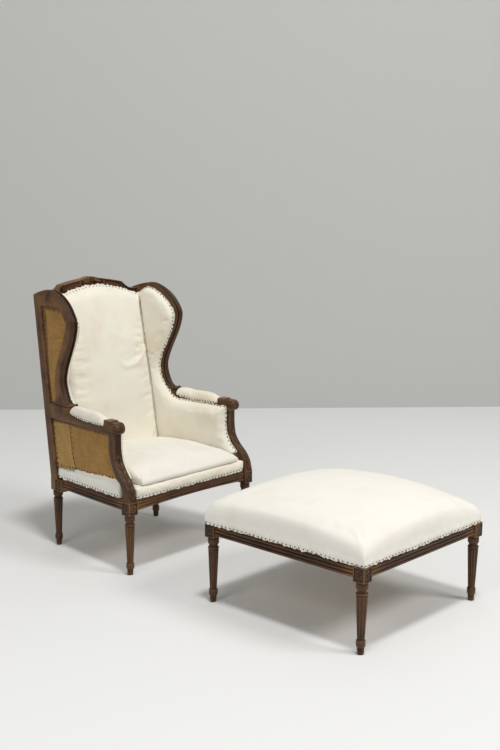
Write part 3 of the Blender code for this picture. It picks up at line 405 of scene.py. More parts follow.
jute, given, sink = node_group(
    "hessian_weave",
    {"Vector": "vector", "Pitch": "value", "Yarn": "color", "Shade": "color"},
    {"Color": "color", "Height": "value"},
)
wander = noise_node(jute, scaled(jute, given["Vector"], (90, 90, 90)), 1.0).outputs[1]
stray = {0: given["Vector"], 1: scaled(jute, wander, (0.0016, 0.0016, 0))}
parts = add(jute, "SeparateXYZ", {0: add(jute, "VectorMath", stray, operation="ADD").outputs[0]}).outputs
counts = [maths(jute, "DIVIDE", parts[i], given["Pitch"]) for i in (0, 1)]
waves = [maths(jute, "SINE", times(jute, count, pi)) for count in counts]
over = times(jute, maths(jute, "SIGN", waves[0]), maths(jute, "SIGN", waves[1]))
lifts = (remap(jute, over, -1.0, 1.0, 0.45, 1.0), remap(jute, over, -1.0, 1.0, 1.0, 0.45))
yarns = []
for wave, lift in zip(waves, lifts):
    yarns.append(times(jute, maths(jute, "POWER", maths(jute, "ABSOLUTE", wave), 0.6), lift))
woven = maths(jute, "MAXIMUM", yarns[0], yarns[1])
fibre = cloud(jute, given["Vector"], 900.0, 2, 0.6)
faded = remap(jute, cloud(jute, given["Vector"], 16.0, 4, 0.55), 0.34, 0.68)
tint = mixed(jute, remap(jute, woven, 0.35, 0.95), given["Shade"], given["Yarn"])
tint = mixed(jute, times(jute, faded, 0.38), tint, given["Shade"])
for factors in ((22, 330, 1), (330, 22, 1)):
    slub = remap(jute, cloud(jute, scaled(jute, given["Vector"], factors), 1.0, 3, 0.6), 0.42, 0.62)
    tint = mixed(jute, times(jute, slub, 0.42), tint, given["Shade"])
tint = mixed(jute, times(jute, fibre, 0.25), tint, given["Yarn"])
feed(jute, sink, {"Color": tint, "Height": plus(jute, woven, times(jute, fibre, 0.3))})

# %% Cloth, beech and iron finishes
HESSIAN_PITCH, WEBBING_PITCH = 0.0026, 0.0016


def calico(name, cloth_color, stain_color):
    """Unbleached calico over stuffing."""
    look, tree, shader = new_look(name)
    place = add(tree, "TexCoord").outputs["Object"]
    made = use_group(tree, cotton, {"Vector": place, "Cloth": (*cloth_color, 1), "Stain": (*stain_color, 1)})
    finish = {
        "Base Color": made["Color"], "Roughness": made["Roughness"],
        "Normal": relief(tree, made["Height"], 0.22, 0.0004),
        "Sheen Weight": 0.12, "Sheen Roughness": 0.5,
    }
    feed(tree, shader, finish)
    return look


def jute_cloth(name, pitch, yarn, shade, bump=0.8):
    """A coarse jute cloth that follows the sheet's own UV map."""
    look, tree, shader = new_look(name)
    place = add(tree, "UVMap", uv_map="Grain").outputs[0]
    made = use_group(tree, jute, {"Vector": place, "Pitch": pitch, "Yarn": (*yarn, 1), "Shade": (*shade, 1)})
    feed(tree, shader, {"Base Color": made["Color"], "Normal": relief(tree, made["Height"], bump, 0.0008)})
    feed(tree, shader, {"Roughness": 0.92, "Sheen Weight": 0.10})
    return look


CALICO = calico("calico", (0.82, 0.785, 0.685), (0.71, 0.61, 0.445))
CALICO_EDGE = calico("calico_raw_edge", (0.86, 0.82, 0.72), (0.66, 0.54, 0.36))
CALICO_SEAT = calico("calico_seat", (0.80, 0.775, 0.705), (0.71, 0.63, 0.49))
# The side borders get a cooler copy of the calico, a painted tint for the cool daylight that falls on the
# sides of the seat.
CALICO_COOL_LIGHT_TINT = calico("calico_side_border", (0.83, 0.82, 0.755), (0.72, 0.66, 0.54))
CALICO_STOOL = calico("calico_footstool", (0.85, 0.825, 0.765), (0.78, 0.72, 0.59))
HESSIAN = jute_cloth("hessian", HESSIAN_PITCH, (0.66, 0.370, 0.082), (0.140, 0.058, 0.010))
# A darker hessian: painted shadow along the top of each sheet, under the wood, and the colour of the hems and
# of the arm's fold.
HESSIAN_HEM_AND_SHADOW = jute_cloth("hessian_hem", HESSIAN_PITCH, (0.36, 0.165, 0.036), (0.085, 0.032, 0.007))
HESSIAN_LIGHT = jute_cloth("hessian_light", HESSIAN_PITCH, (0.74, 0.465, 0.130), (0.20, 0.098, 0.021))
WEBBING = jute_cloth("webbing", WEBBING_PITCH, (0.50, 0.40, 0.25), (0.26, 0.18, 0.09), 0.4)

BEECH, tree, shader = new_look("raw_beech")
beech_colors = {"Dark": (0.20, 0.115, 0.055, 1), "Light": (0.42, 0.27, 0.14, 1)}
grain = use_group(tree, timber, {"Vector": grain_vector(tree, "ACROSS"), **beech_colors})
bumps = relief(tree, grain["Height"], 0.4, 0.0006)
feed(tree, shader, {"Base Color": grain["Color"], "Normal": bumps, "Roughness": 0.75})

IRON, tree, shader = new_look("blued_iron")
rust = cloud(tree, add(tree, "TexCoord").outputs["Object"], 350.0, 3)
rusty = mixed(tree, remap(tree, rust, 0.45, 0.6), (0.020, 0.017, 0.016, 1), (0.075, 0.040, 0.024, 1))
dullness = remap(tree, rust, 0.3, 0.7, 0.32, 0.62)
feed(tree, shader, {"Base Color": rusty, "Roughness": dullness, "Metallic": 0.75})

# A dark grey for the tubes in the back's side creases: thread and painted shade.
THREAD_AND_CREASE_SHADE, tree, shader = new_look("grey_thread")
feed(tree, shader, {"Base Color": (0.13, 0.13, 0.135, 1), "Roughness": 0.9})

# %% [markdown]
# ## From a bmesh to a finished piece
# Each piece is modelled as a bmesh. To finish one, its faces are turned to point out, its creases are
# marked sharp, it gets its material, it is parented to the empty of the body it rides on, and the CAD
# node that it stands for is hidden. Its object stays at the origin: the piece's place is in its mesh.

# %% Finishing a piece


def in_scene(name, mesh):
    """An object for a mesh, placed at the origin."""
    made = bpy.data.objects.new(name, mesh)
    bpy.context.scene.collection.objects.link(made)
    return made


def plain_mesh(name, bm, looks=()):
    """A mesh made of a bmesh as it is, with its materials."""
    mesh = bpy.data.meshes.new(name)
    bm.to_mesh(mesh)
    bm.free()
    for look in looks:
        mesh.materials.append(look)
    return mesh


def mesh_of(name, bm, looks=()):
    """A mesh made of a bmesh, with its faces turned to point out."""
    bmesh.ops.recalc_face_normals(bm, faces=bm.faces)
    if bm.calc_volume(signed=True) < 0:
        bmesh.ops.reverse_faces(bm, faces=bm.faces)
    return plain_mesh(name, bm, looks)


def declare(piece, body, node, look):
    """Parents a piece to the empty of its body and hides the CAD node that it stands for. look, its material,
    is not used.
    """
    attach(piece, body)
    if node:
        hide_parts(node)


def finished(name, bm, look, body="chair", node=None, crease=35):
    """Makes an object of a bmesh, with its finish, its body and the CAD node that it replaces."""
    mesh = mesh_of(name, bm, (look,))
    mesh.shade_smooth()
    mesh.set_sharp_from_angle(angle=radians(crease))
    piece = in_scene(name, mesh)
    declare(piece, body, node, look)
    print(f"{name}: {len(mesh.polygons)} faces")
    return piece


# %% [markdown]
# ## A bar with a moulded section
# Rails, posts and wings are all bars: one moulded section carried along a path. A grid with a cell for
# every step round the section and along the path is bent into the bar, its seam is welded and its ends
# are filled. While the grid is still flat, each cell gets its UV from the lengths, so the grain follows
# the bar round every curve.

# %% Bars


def bar(bm, section, stations, place):
    """Adds a bar to bm: place(station, a, b) puts each point of the section at each station."""
    around, along = len(section), len(stations) - 1
    grain_map = bm.loops.layers.uv.get("Grain") or bm.loops.layers.uv.new("Grain")
    made = bmesh.ops.create_grid(bm, x_segments=around, y_segments=along, size=1)
    verts = made["verts"]
    where = {v: (round((v.co.x + 1) / 2 * around), round((v.co.y + 1) / 2 * along)) for v in verts}
    points = [[place(station, *corner) for corner in section] for station in stations]
    run, girth = [0.0], [0.0]
    for before, after in zip(points, points[1:]):
        run.append(run[-1] + (after[0] - before[0]).length)
    ring = points[along // 2]
    for before, after in zip(ring, ring[1:] + ring[:1]):
        girth.append(girth[-1] + (after - before).length)
    faces = {face for v in verts for face in v.link_faces}
    for face in faces:
        for loop in face.loops:
            i, j = where[loop.vert]
            loop[grain_map].uv = (girth[i], run[j])
    for v, (i, j) in where.items():
        v.co = points[j][i % around]
    bmesh.ops.remove_doubles(bm, verts=verts, dist=1e-7)
    rims = {edge for face in faces if face.is_valid for edge in face.edges if edge.is_boundary}
    filled = bmesh.ops.holes_fill(bm, edges=list(rims), sides=0)["faces"]
    for face in filled:
        for loop in face.loops:
            loop[grain_map].uv = (loop.vert.co.x + loop.vert.co.y, loop.vert.co.z)


def moulding(place, beads, base, between_beads=None):
    """How high a moulded face stands at a place. beads gives (centre, half width, height) of each."""
    height = base if between_beads is None else between_beads
    for centre, half, top in beads:
        away = abs(place - centre) / half
        if away < 1:
            height = max(height, base + (top - base) * sqrt(1 - away * away))
    return height


# %% [markdown]
# ## The legs
# The legs are turned on a lathe and then fluted by hand with a gouge. The profile is spun round an
# axis, and ten flutes are pressed into the shaft by moving its points inward, each flute ending in
# the round mark of the gouge. A square block sits on top. Each outer face of the block has a sunk panel
# with a carved rosette, so a rosette is bent from a grid: round and round for the petals, in and out
# for their swell.

# %% Legs and rosettes
LEG_HEIGHT, STOOL_LEG_HEIGHT = 0.233, 0.238
LEG_RADIUS = 0.020
BLOCK_HALF, BLOCK_HEIGHT = 0.0215, 0.050
FLUTES, SPIN_STEPS, FLUTE_DEPTH = 10, 80, 0.0026
FLUTE_LOW, FLUTE_HIGH = 0.236, 0.800
PROFILE_SHARES = (
    (0, 0.49), (0.008, 0.53), (0.06, 0.585), (0.10, 0.625), (0.104, 0.66), (0.108, 0.73), (0.118, 0.765),
    (0.155, 0.775), (0.19, 0.765), (0.198, 0.72), (0.202, 0.65), (0.212, 0.61), (0.224, 0.605), (0.23, 0.63),
)
NECK_SHARES = (
    (0.806, 0.93), (0.811, 0.90), (0.814, 0.82), (0.818, 0.82), (0.822, 0.90), (0.828, 0.97), (0.836, 0.99),
    (0.844, 0.97), (0.850, 0.90), (0.854, 0.80), (0.868, 0.765), (0.884, 0.80), (0.897, 0.88), (0.902, 0.93),
    (0.908, 0.975), (0.922, 0.995), (0.965, 0.995), (0.978, 0.97), (0.985, 0.91), (1, 0.90),
)
SHAFT_ROWS = 30


def turned_leg(bm, matrix, height):
    """Adds a fluted leg to an empty bm, from the floor to the underside of its block."""
    (low, slim), (high, full) = PROFILE_SHARES[-1], NECK_SHARES[0]
    shaft = []
    for share in evenly(low, high, SHAFT_ROWS)[1:-1]:
        shaft.append((share, between(slim, full, (share - low) / (high - low))))
    profile = [*PROFILE_SHARES, *shaft, *NECK_SHARES]
    verts = [bm.verts.new((LEG_RADIUS * wide, 0, height * tall)) for tall, wide in profile]
    edges = [bm.edges.new(pair) for pair in zip(verts, verts[1:])]
    turn = {"cent": (0, 0, 0), "axis": (0, 0, 1), "dvec": (0, 0, 0), "angle": 2 * pi}
    bmesh.ops.spin(bm, geom=verts + edges, steps=SPIN_STEPS, use_merge=True, **turn)
    for v in bm.verts:
        share, radius = v.co.z / height, hypot(v.co.x, v.co.y)
        if not FLUTE_LOW < share < FLUTE_HIGH:
            continue
        flute = atan2(v.co.y, v.co.x) / (2 * pi) * FLUTES
        across = abs(flute - round(flute)) * 2
        end = min(share - FLUTE_LOW, FLUTE_HIGH - share) * height
        past = max(1 - end / (radius * pi / FLUTES), 0)
        level = (across / 0.80) ** 2 + past * past
        if level < 1:
            v.co.xy *= 1 - FLUTE_DEPTH * sqrt(1 - level) * (0.55 + 0.45 * share) / radius
    bmesh.ops.holes_fill(bm, edges=[edge for edge in bm.edges if edge.is_boundary], sides=0)
    bmesh.ops.transform(bm, matrix=matrix, verts=bm.verts)


def rosette(bm, matrix, radius, petals=8):
    """Adds a carved flower to bm. It lies in the matrix's XY plane and rises along its Z."""
    rings, per_petal, heart = 10, 6, 0.3
    verts = bmesh.ops.create_grid(bm, x_segments=petals * per_petal, y_segments=rings, size=1)["verts"]
    for v in verts:
        angle, share = pi * v.co.x, (v.co.y + 1) / 2
        lobe = abs(cos(angle * petals / 2))
        rim = 1 - 0.17 * (1 - lobe) ** 2
        if share < heart:
            height = 0.13 + 0.10 * sqrt(1 - (share / heart) ** 2)
        else:
            out = (share - heart) / (1 - heart)
            height = 0.03 + 0.20 * sin(pi * clamp(out * 0.9 + 0.12)) * (0.30 + 0.70 * lobe)
        height *= 1 if share < 0.97 else 0
        reach = radius * share * between(1, rim, share)
        v.co = matrix @ Vector((reach * cos(angle), reach * sin(angle), radius * height))
    bmesh.ops.remove_doubles(bm, verts=verts, dist=2e-6)
    bmesh.ops.holes_fill(bm, edges=[edge for edge in bm.edges if edge.is_boundary], sides=0)


def facing(place, normal, upward=Vector((0, 0, 1))):
    """A matrix at place whose Z looks along normal and whose Y is upward."""
    across = upward.cross(normal).normalized()
    return Matrix.Translation(place) @ Matrix((across, normal.cross(across), normal)).transposed().to_4x4()


PANEL_RIM, PANEL_STEP, PANEL_SUNK = 0.0045, 0.0008, 0.0020


def eased(bm, edges, reach, segments):
    """Rounds some edges of bm."""
    bmesh.ops.bevel(
        bm, geom=edges, offset=reach, offset_type="OFFSET", segments=segments, profile=0.5,
        affect="EDGES", material=-1,
    )


def carved_block(bm, matrix, front, back, low, high, carved):
    """Adds a leg's square block. carved names the local directions whose faces carry a rosette."""
    place = matrix @ Matrix.Translation((0, (back - front) / 2, (low + high) / 2))
    scale = Matrix.Diagonal((2 * BLOCK_HALF, front + back, high - low, 1))
    verts = bmesh.ops.create_cube(bm, size=1, matrix=place @ scale)["verts"]
    faces = list({face for v in verts for face in v.link_faces})
    panels = []
    for direction in carved:
        outward = (place.to_3x3() @ Vector(direction)).normalized()
        panels.append((max(faces, key=lambda face: face.calc_center_median().dot(outward)), outward))
    for face, outward in panels:
        centre = face.calc_center_median()
        bmesh.ops.recalc_face_normals(bm, faces=faces)
        for rim in (PANEL_RIM, PANEL_STEP):
            bmesh.ops.inset_region(bm, faces=[face], thickness=rim, depth=0, use_even_offset=True)
        bmesh.ops.translate(bm, verts=face.verts[:], vec=-outward * PANEL_SUNK)
        wide = min(high - low, 2 * BLOCK_HALF) - 0.010
        rosette(bm, facing(centre - outward * (PANEL_SUNK + 0.0002), outward), wide / 2)
    edges = {edge for v in verts if v.is_valid for edge in v.link_edges if edge.is_manifold}
    eased(bm, [edge for edge in edges if edge.calc_face_angle(0) > 1.2], 0.0009, 2)


STOOL_HALF_SPAN = 0.325
STOOL_TURN = radians(-1.64)
ENDS = (("front", -1), ("rear", 1))
stool_boxes = [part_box(f"footstool_leg_{end}_{hand}") for end, _ in ENDS for hand, _ in SIDES]
STOOL_Y = (min(low.y for low, _ in stool_boxes) + max(high.y for _, high in stool_boxes)) / 2
STOOL = Matrix.Translation((0, STOOL_Y, 0)) @ Matrix.Rotation(STOOL_TURN, 4, "Z")
BLOCK_TOP = LEG_HEIGHT + BLOCK_HEIGHT


def leg_piece(node, body, place, height, carved):
    """One turned leg with its carved block, as a piece of its own."""
    bm = bmesh.new()
    turned_leg(bm, place, height)
    carved_block(bm, place, BLOCK_HALF, BLOCK_HALF, height, height + BLOCK_HEIGHT, carved)
    finished("carved_" + node, bm, WALNUT["UP"], body, node)


for end, b in ENDS:
    for hand, a in SIDES:
        place = STOOL @ Matrix.Translation((a * STOOL_HALF_SPAN, b * STOOL_HALF_SPAN, 0))
        leg_piece(f"footstool_leg_{end}_{hand}", "footstool", place, STOOL_LEG_HEIGHT, ((a, 0, 0), (0, b, 0)))
for hand, side in SIDES:
    place = Matrix.Translation((side * FRONT_SPAN / 2, CHAIR_Y, 0))
    leg_piece("front_leg_" + hand, "chair", place, LEG_HEIGHT, ((side, 0, 0), (0, -1, 0)))

# %% [markdown]
# ## Rear legs, blocks and stiles
# A rear leg is one length of walnut: turned below, square at the seat, then leaning back as the stile
# of the back. The carved square sits on the front part of its block. The local frame of a rear leg
# is turned with the splay of the side, and mirrored on the left.

# %% Rear legs
STILE_WIDTH, STILE_DEPTH, STILE_TOP, STILE_TOP_RISE = 0.040, 0.045, 1.016, 0.0145
REAR_BLOCK_FRONT, REAR_BLOCK_BACK, REAR_CARVED_DEPTH = 0.0575, 0.0185, 0.048
BACK_RAKE = radians(8.05)
JOINT = 0.0003


def stile_back(up):
    """Along place of the raked stile's rear face at a height."""
    return SIDE_RUN + REAR_BLOCK_BACK + (up - BLOCK_TOP) * tan(BACK_RAKE)


def stile_front(up):
    """Along place of the stile's front face at a height."""
    return stile_back(up) - STILE_DEPTH - JOINT


def back_depth(up):
    """Depth of the rear face of the back at a height."""
    return stile_back(up) * cos(SPLAY)


def stile_inner(depth):
    """Half the clear width between the stiles at a depth."""
    return half_width(depth, BLOCK_HALF - STILE_WIDTH)


def soft_rectangle(cut=0.08):
    """A rectangle from -1 to 1 with eased corners and a point in the middle of each side."""
    near = 1 - cut
    return [
        (near, -1), (1, -near), (1, 0), (1, near), (near, 1), (0, 1),
        (-near, 1), (-1, near), (-1, 0), (-1, -near), (-near, -1), (0, -1),
    ]


for hand, side in SIDES:
    bm = bmesh.new()
    foot = side_point(side, SIDE_RUN, 0, 0)
    splayed = ((side * cos(SPLAY), -side * sin(SPLAY), 0, foot.x), (sin(SPLAY), cos(SPLAY), 0, foot.y))
    place = Matrix((*splayed, (0, 0, 1, 0), (0, 0, 0, 1)))
    turned_leg(bm, place, LEG_HEIGHT)
    plain_low = REAR_CARVED_DEPTH - REAR_BLOCK_FRONT
    carved_block(bm, place, REAR_BLOCK_FRONT, plain_low, LEG_HEIGHT, BLOCK_TOP, ((1, 0, 0),))

    def plain_part(up, a, b):
        return place @ Vector((BLOCK_HALF * a, between(plain_low, REAR_BLOCK_BACK, (b + 1) / 2), up))

    bar(bm, soft_rectangle(0.04), (LEG_HEIGHT, BLOCK_TOP), plain_part)

    def stile_part(up, a, b):
        forward = (1 - b) / 2
        level = up + STILE_TOP_RISE * forward * clamp((up - STILE_TOP + 0.05) / 0.05)
        along = stile_back(level) - forward * STILE_DEPTH
        return side_point(side, along, BLOCK_HALF - STILE_WIDTH / 2 * (1 - a), level)

    bar(bm, soft_rectangle(), evenly(BLOCK_TOP - 0.004, STILE_TOP, 16), stile_part)
    finished(f"carved_rear_leg_{hand}", bm, WALNUT["UP"], "chair", f"rear_leg_{hand}")

# %% [markdown]
# ## Moulded rails
# The seat rails carry three rounded reeds, the lowest one the fullest. The same section serves the
# chair and the footstool. Only the chair's front rail is cut in a shallow arch underneath.

# %% Rails
RAIL_HEIGHT, RAIL_THICKNESS, REED_DEPTH, RAIL_OUT = 0.041, 0.030, 0.006, 0.0155
RAIL_BOTTOM = LEG_HEIGHT + 0.012
RAIL_TOP = RAIL_BOTTOM + RAIL_HEIGHT
STOOL_RAIL_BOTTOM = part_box("footstool_rail_front")[0].z
STOOL_RAIL_TOP = STOOL_RAIL_BOTTOM + RAIL_HEIGHT
FRONT_ARCH = 0.008
RAIL_REEDS = ((0.14, 0.125, 1.0), (0.43, 0.145, 0.86), (0.71, 0.115, 0.74))
REED_STEPS, REED_BASE, RAIL_FILLET = 36, 0.28, (0.86, 0.16)


def rail_section():
    """(back, up) round a rail, from the foot of its moulded face."""
    face = []
    for tall in evenly(0, 1, REED_STEPS):
        fillet_from, fillet = RAIL_FILLET
        raised = moulding(tall, RAIL_REEDS, REED_BASE, REED_BASE if tall < fillet_from else fillet)
        face.append((-REED_DEPTH * (1 - raised), RAIL_HEIGHT * tall))
    return [*face, (-RAIL_THICKNESS, RAIL_HEIGHT), (-RAIL_THICKNESS, 0)]


def rail_piece(node, stations, place, look="PIECE", body="chair"):
    """A moulded rail. place(station, back, up) puts its points."""
    bm = bmesh.new()
    bar(bm, rail_section(), stations, place)
    finished("moulded_" + node, bm, WALNUT[look], body, node, crease=42)


def front_rail_place(share, back, height):
    across = share * (FRONT_SPAN / 2 - BLOCK_HALF - JOINT)
    lift = FRONT_ARCH * (1 - share * share) * (1 - height / RAIL_HEIGHT)
    return chair_point(across, -RAIL_OUT - back, RAIL_BOTTOM + height + lift)


rail_piece("front_seat_rail", evenly(-1, 1, 12), front_rail_place, "ACROSS")
REAR_RAIL_END = SIDE_RUN + REAR_BLOCK_BACK - 0.076 - JOINT
for hand, side in SIDES:

    def side_rail_place(share, back, height):
        out = RAIL_OUT + back
        along = between(along_at(BLOCK_HALF + JOINT, out), REAR_RAIL_END, share)
        return side_point(side, along, out, RAIL_BOTTOM + height)

    rail_piece("side_seat_rail_" + hand, evenly(0, 1, 10), side_rail_place)

for quarter, side_name in enumerate(("front", "right", "rear", "left")):
    spin = STOOL @ Matrix.Rotation(quarter * pi / 2, 4, "Z")

    def stool_rail_place(share, back, height):
        across = share * (STOOL_HALF_SPAN - BLOCK_HALF - JOINT)
        return spin @ Vector((across, -(STOOL_HALF_SPAN + RAIL_OUT) - back, STOOL_RAIL_BOTTOM + height))

    rail_piece("footstool_rail_" + side_name, evenly(-1, 1, 12), stool_rail_place, "PIECE", "footstool")

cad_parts["rear_seat_rail"].data.materials[0] = WALNUT["ACROSS"]
for name, cad_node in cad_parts.items():
    if "brace" in name or "tack_rail" in name or "upright" in name or name == "lower_back_rail":
        cad_node.data.materials[0] = BEECH

# %% [markdown]
# ## Arm posts with their carved leaf
# The post stands square on the leg's block, sweeps back and turns with the splay. Its front face has a
# bead along each edge with a hollow between. On the lower sweep lies an acanthus leaf: a raised shape
# with a middle vein, slanting side veins and a tip that curls over. It is too soft a form for cuts, so
# the front face is divided finely and its points are pushed out, as a carver leaves the leaf standing.

# %% Arm posts
ARM_UNDERSIDE, ARM_RAIL_WIDTH, ARM_RAIL_HEIGHT = 0.529, 0.040, 0.023
ARM_TOP = ARM_UNDERSIDE + ARM_RAIL_HEIGHT
POST_SETBACK = 0.0865
POST_SHARES = (
    (0, 0, 1, 1), (0.05, 0.01, 0.93, 0.93), (0.16, 0.05, 0.80, 0.92), (0.24, 0.15, 0.76, 0.92),
    (0.32, 0.34, 0.86, 0.92), (0.42, 0.62, 0.86, 0.92), (0.52, 0.80, 0.74, 0.92), (0.61, 0.91, 0.70, 0.90),
    (0.74, 0.98, 0.74, 0.88), (0.86, 1, 0.76, 0.88), (1, 1, 0.77, 0.88),
)
POST_BOTTOM = BLOCK_TOP + JOINT
POST_HEIGHT = ARM_UNDERSIDE - JOINT - POST_BOTTOM
LEAF_LOW, LEAF_HIGH, LEAF_LOBES = 0.03, 0.70, 6.0
LEAF_RISE, LEAF_TIP = 0.0060, 0.0032
FRONT_CUTS, SIDE_CUTS = 30, 7


def post_stations(steps):
    """(share of the height, along, half depth, half width) up the post."""
    return [
        (share, back * POST_SETBACK, depth * BLOCK_HALF, width * BLOCK_HALF)
        for share, back, depth, width in curve_through(POST_SHARES, steps)
    ]


def post_place(up):
    """(along, half depth) of the post at a height."""
    share = clamp((up - POST_BOTTOM) / POST_HEIGHT)
    rows = post_stations(4)
    for low, high in zip(rows, rows[1:]):
        if share <= high[0]:
            break
    t = clamp((share - low[0]) / (high[0] - low[0]))
    return between(low[1], high[1], t), between(low[2], high[2], t)


def post_back(up):
    """Along place of the post's rear face at a height."""
    return sum(post_place(up))


def post_section():
    """Points round the post from -1 to 1, closest on its carved front."""
    ring = [(a, -1) for a in evenly(-0.94, 0.94, FRONT_CUTS)]
    ring += [(1, b) for b in evenly(-0.92, 0.92, SIDE_CUTS)]
    ring += [(a, 1) for a in evenly(0.93, -0.93, SIDE_CUTS)]
    return ring + [(-1, b) for b in evenly(0.92, -0.92, SIDE_CUTS)]


def post_front(a, share):
    """How far the carved front stands out at a place across it and up it."""
    edge = abs(a)
    bead = 0.0012 * sqrt(max(1 - ((edge - 0.80) / 0.14) ** 2, 0))
    hollow = -0.0017 * (1 - (edge / 0.64) ** 2) if edge < 0.64 else 0
    face = max(bead, 0) + hollow
    rise = (share - LEAF_LOW) / (LEAF_HIGH - LEAF_LOW)
    if not 0 < rise < 1:
        return face
    lobes = abs(((rise * LEAF_LOBES) % 1) - 0.5) * 2
    wide = 0.97 * (1 - 0.55 * rise**2.4) * (1 - 0.26 * lobes * clamp(edge * 1.4))
    wide *= min((1 - rise) * 9, 1) ** 0.5
    inside = 1 - (edge / max(wide, 0.01)) ** 2
    if inside <= 0:
        return face
    body = LEAF_RISE * inside**0.55 * min(rise * 14, 1)
    veins = 0.5 + 0.5 * cos(2 * pi * (rise * LEAF_LOBES - edge * 1.15))
    tip = LEAF_TIP * bell(rise - 0.93, 0.05) * inside
    return max(face, body * (0.15 + 0.85 * veins**0.8) * (1 - 0.70 * bell(edge, 0.10)) + tip)


for hand, side in SIDES:
    bm = bmesh.new()

    def post_point(station, a, b):
        share, along, half_depth, half_wide = station
        turn = SPLAY * max(1 - share / 0.2, 0)
        across, deep = a * half_wide, b * half_depth
        if b == -1:
            deep -= post_front(a, share)
        out = BLOCK_HALF - half_wide + across * cos(turn) + deep * sin(turn)
        up = POST_BOTTOM + share * POST_HEIGHT
        return side_point(side, along - across * sin(turn) + deep * cos(turn), out, up)

    bar(bm, post_section(), post_stations(14), post_point)
    finished(f"carved_arm_post_{hand}", bm, WALNUT["PIECE"], "chair", f"arm_post_{hand}", crease=50)

# %% [markdown]
# ## Arm rails and scrolls
# The arm is sawn from a board to the outline of its side view: a round scroll in front, a thin plate
# behind it where the pad stops, the seat of the pad, and the rise that carries the wing. The outline
# is extruded to the width of the arm and its long edges are rounded. The volutes on the sides of the
# scroll are a round bead wound in a spiral.

# %% Arm rails
SCROLL_RADIUS, SCROLL_FORWARD = 0.0225, 0.017
SCROLL_ALONG, SCROLL_UP = POST_SETBACK - SCROLL_FORWARD, ARM_UNDERSIDE + SCROLL_RADIUS
PLATE_RISE, PLATE_LENGTH, PLATE_BACK = 0.0045, 0.040, 0.062
ARM_TOP_RISE, ARM_REAR_HEIGHT, RISE_START = 0.014, 0.058, 0.2
WING_BASE = ARM_UNDERSIDE + ARM_REAR_HEIGHT + JOINT
WING_DEPTH, WING_HEIGHT = 0.264, STILE_TOP + 0.0263 - WING_BASE
WING_TIP = stile_back(WING_BASE + WING_HEIGHT) - WING_DEPTH * 0.948
PAD_FRONT, PAD_REAR = SCROLL_ALONG + PLATE_BACK + 0.004, WING_TIP - PLATE_RISE - JOINT
VOLUTE_TURNS, VOLUTE_START, VOLUTE_END, VOLUTE_THICK = 1.6, 0.019, 0.0045, 0.0024


def pad_place(share):
    """Along place of a share of the arm pad's length, from -1 at its front to 1 at the wing."""
    return between(PAD_FRONT, PAD_REAR, (share + 1) / 2)


def arm_outline():
    """(along, up) round the side of the arm."""
    plate_front, plate_rear = SCROLL_ALONG + PLATE_BACK - PLATE_LENGTH, SCROLL_ALONG + PLATE_BACK
    plate_top = SCROLL_UP + SCROLL_RADIUS + PLATE_RISE
    rear_up = ARM_UNDERSIDE + ARM_REAR_HEIGHT
    outline = []
    for angle in evenly(-pi / 2, -3 * pi / 2, 24):
        outline.append((SCROLL_ALONG + SCROLL_RADIUS * cos(angle), SCROLL_UP + SCROLL_RADIUS * sin(angle)))
    outline += [(plate_front, plate_top - PLATE_RISE), (plate_front, plate_top), (plate_rear, plate_top)]
    outline += [(plate_rear, ARM_TOP), (pad_place(RISE_START), ARM_TOP)]
    outline += [(pad_place(1), ARM_TOP + ARM_TOP_RISE), (WING_TIP, rear_up)]
    return outline + [(stile_front(up), up) for up in (rear_up, ARM_UNDERSIDE)]


def board(side, outline, out, thick):
    """A board in a new bmesh: an (along, up) outline, extruded from one place out to the next."""
    bm = bmesh.new()
    sheet = bm.faces.new([bm.verts.new(side_point(side, along, out, up)) for along, up in outline])
    made = bmesh.ops.extrude_face_region(bm, geom=[sheet], use_keep_orig=True)["geom"]
    shift = side_point(side, 0, thick, 0) - side_point(side, 0, 0, 0)
    bmesh.ops.translate(bm, verts=[item for item in made if isinstance(item, bmesh.types.BMVert)], vec=shift)
    return bm


def volute(bm, side, out):
    """Adds a spiral bead to bm, on a side of the scroll."""

    def place(share, a, b):
        angle = -pi / 2 - 2 * pi * VOLUTE_TURNS * share
        size = VOLUTE_THICK * between(1, 0.75, share)
        reach = between(VOLUTE_START, VOLUTE_END, share**0.8) + a * size
        along, up = SCROLL_ALONG + reach * cos(angle), SCROLL_UP + reach * sin(angle)
        return side_point(side, along, out + b * size * 0.8, up)

    bar(bm, circle(10), evenly(0, 1, 55), place)


for hand, side in SIDES:
    bm = board(side, arm_outline(), BLOCK_HALF - ARM_RAIL_WIDTH, ARM_RAIL_WIDTH)
    rims = [edge for edge in bm.edges if edge.is_manifold and edge.calc_face_angle(0) > 1.3]
    eased(bm, [edge for edge in rims if edge.calc_length() > 0.002], 0.0022, 3)
    for out in (BLOCK_HALF, BLOCK_HALF - ARM_RAIL_WIDTH):
        volute(bm, side, out)
    nose = SCROLL_ALONG - SCROLL_RADIUS * 0.985
    middle = side_point(side, nose, BLOCK_HALF - ARM_RAIL_WIDTH / 2, SCROLL_UP)
    rosette(bm, facing(middle, side_way(side, along=-1)), 0.0155)
    finished(f"carved_arm_rail_{hand}", bm, WALNUT["ALONG"], "chair", f"arm_rail_{hand}")

# %% [markdown]
# ## Wings
# The front edge of each wing is one long S, wide and full at ear height and drawn back to the arm. Its
# face is reeded: a bead inside, then a dark hollow, then three reeds outside. The S is a smooth curve
# through the same places as in the CAD, taken in finer steps. At its foot the moulding ends in a small
# curl on the arm.

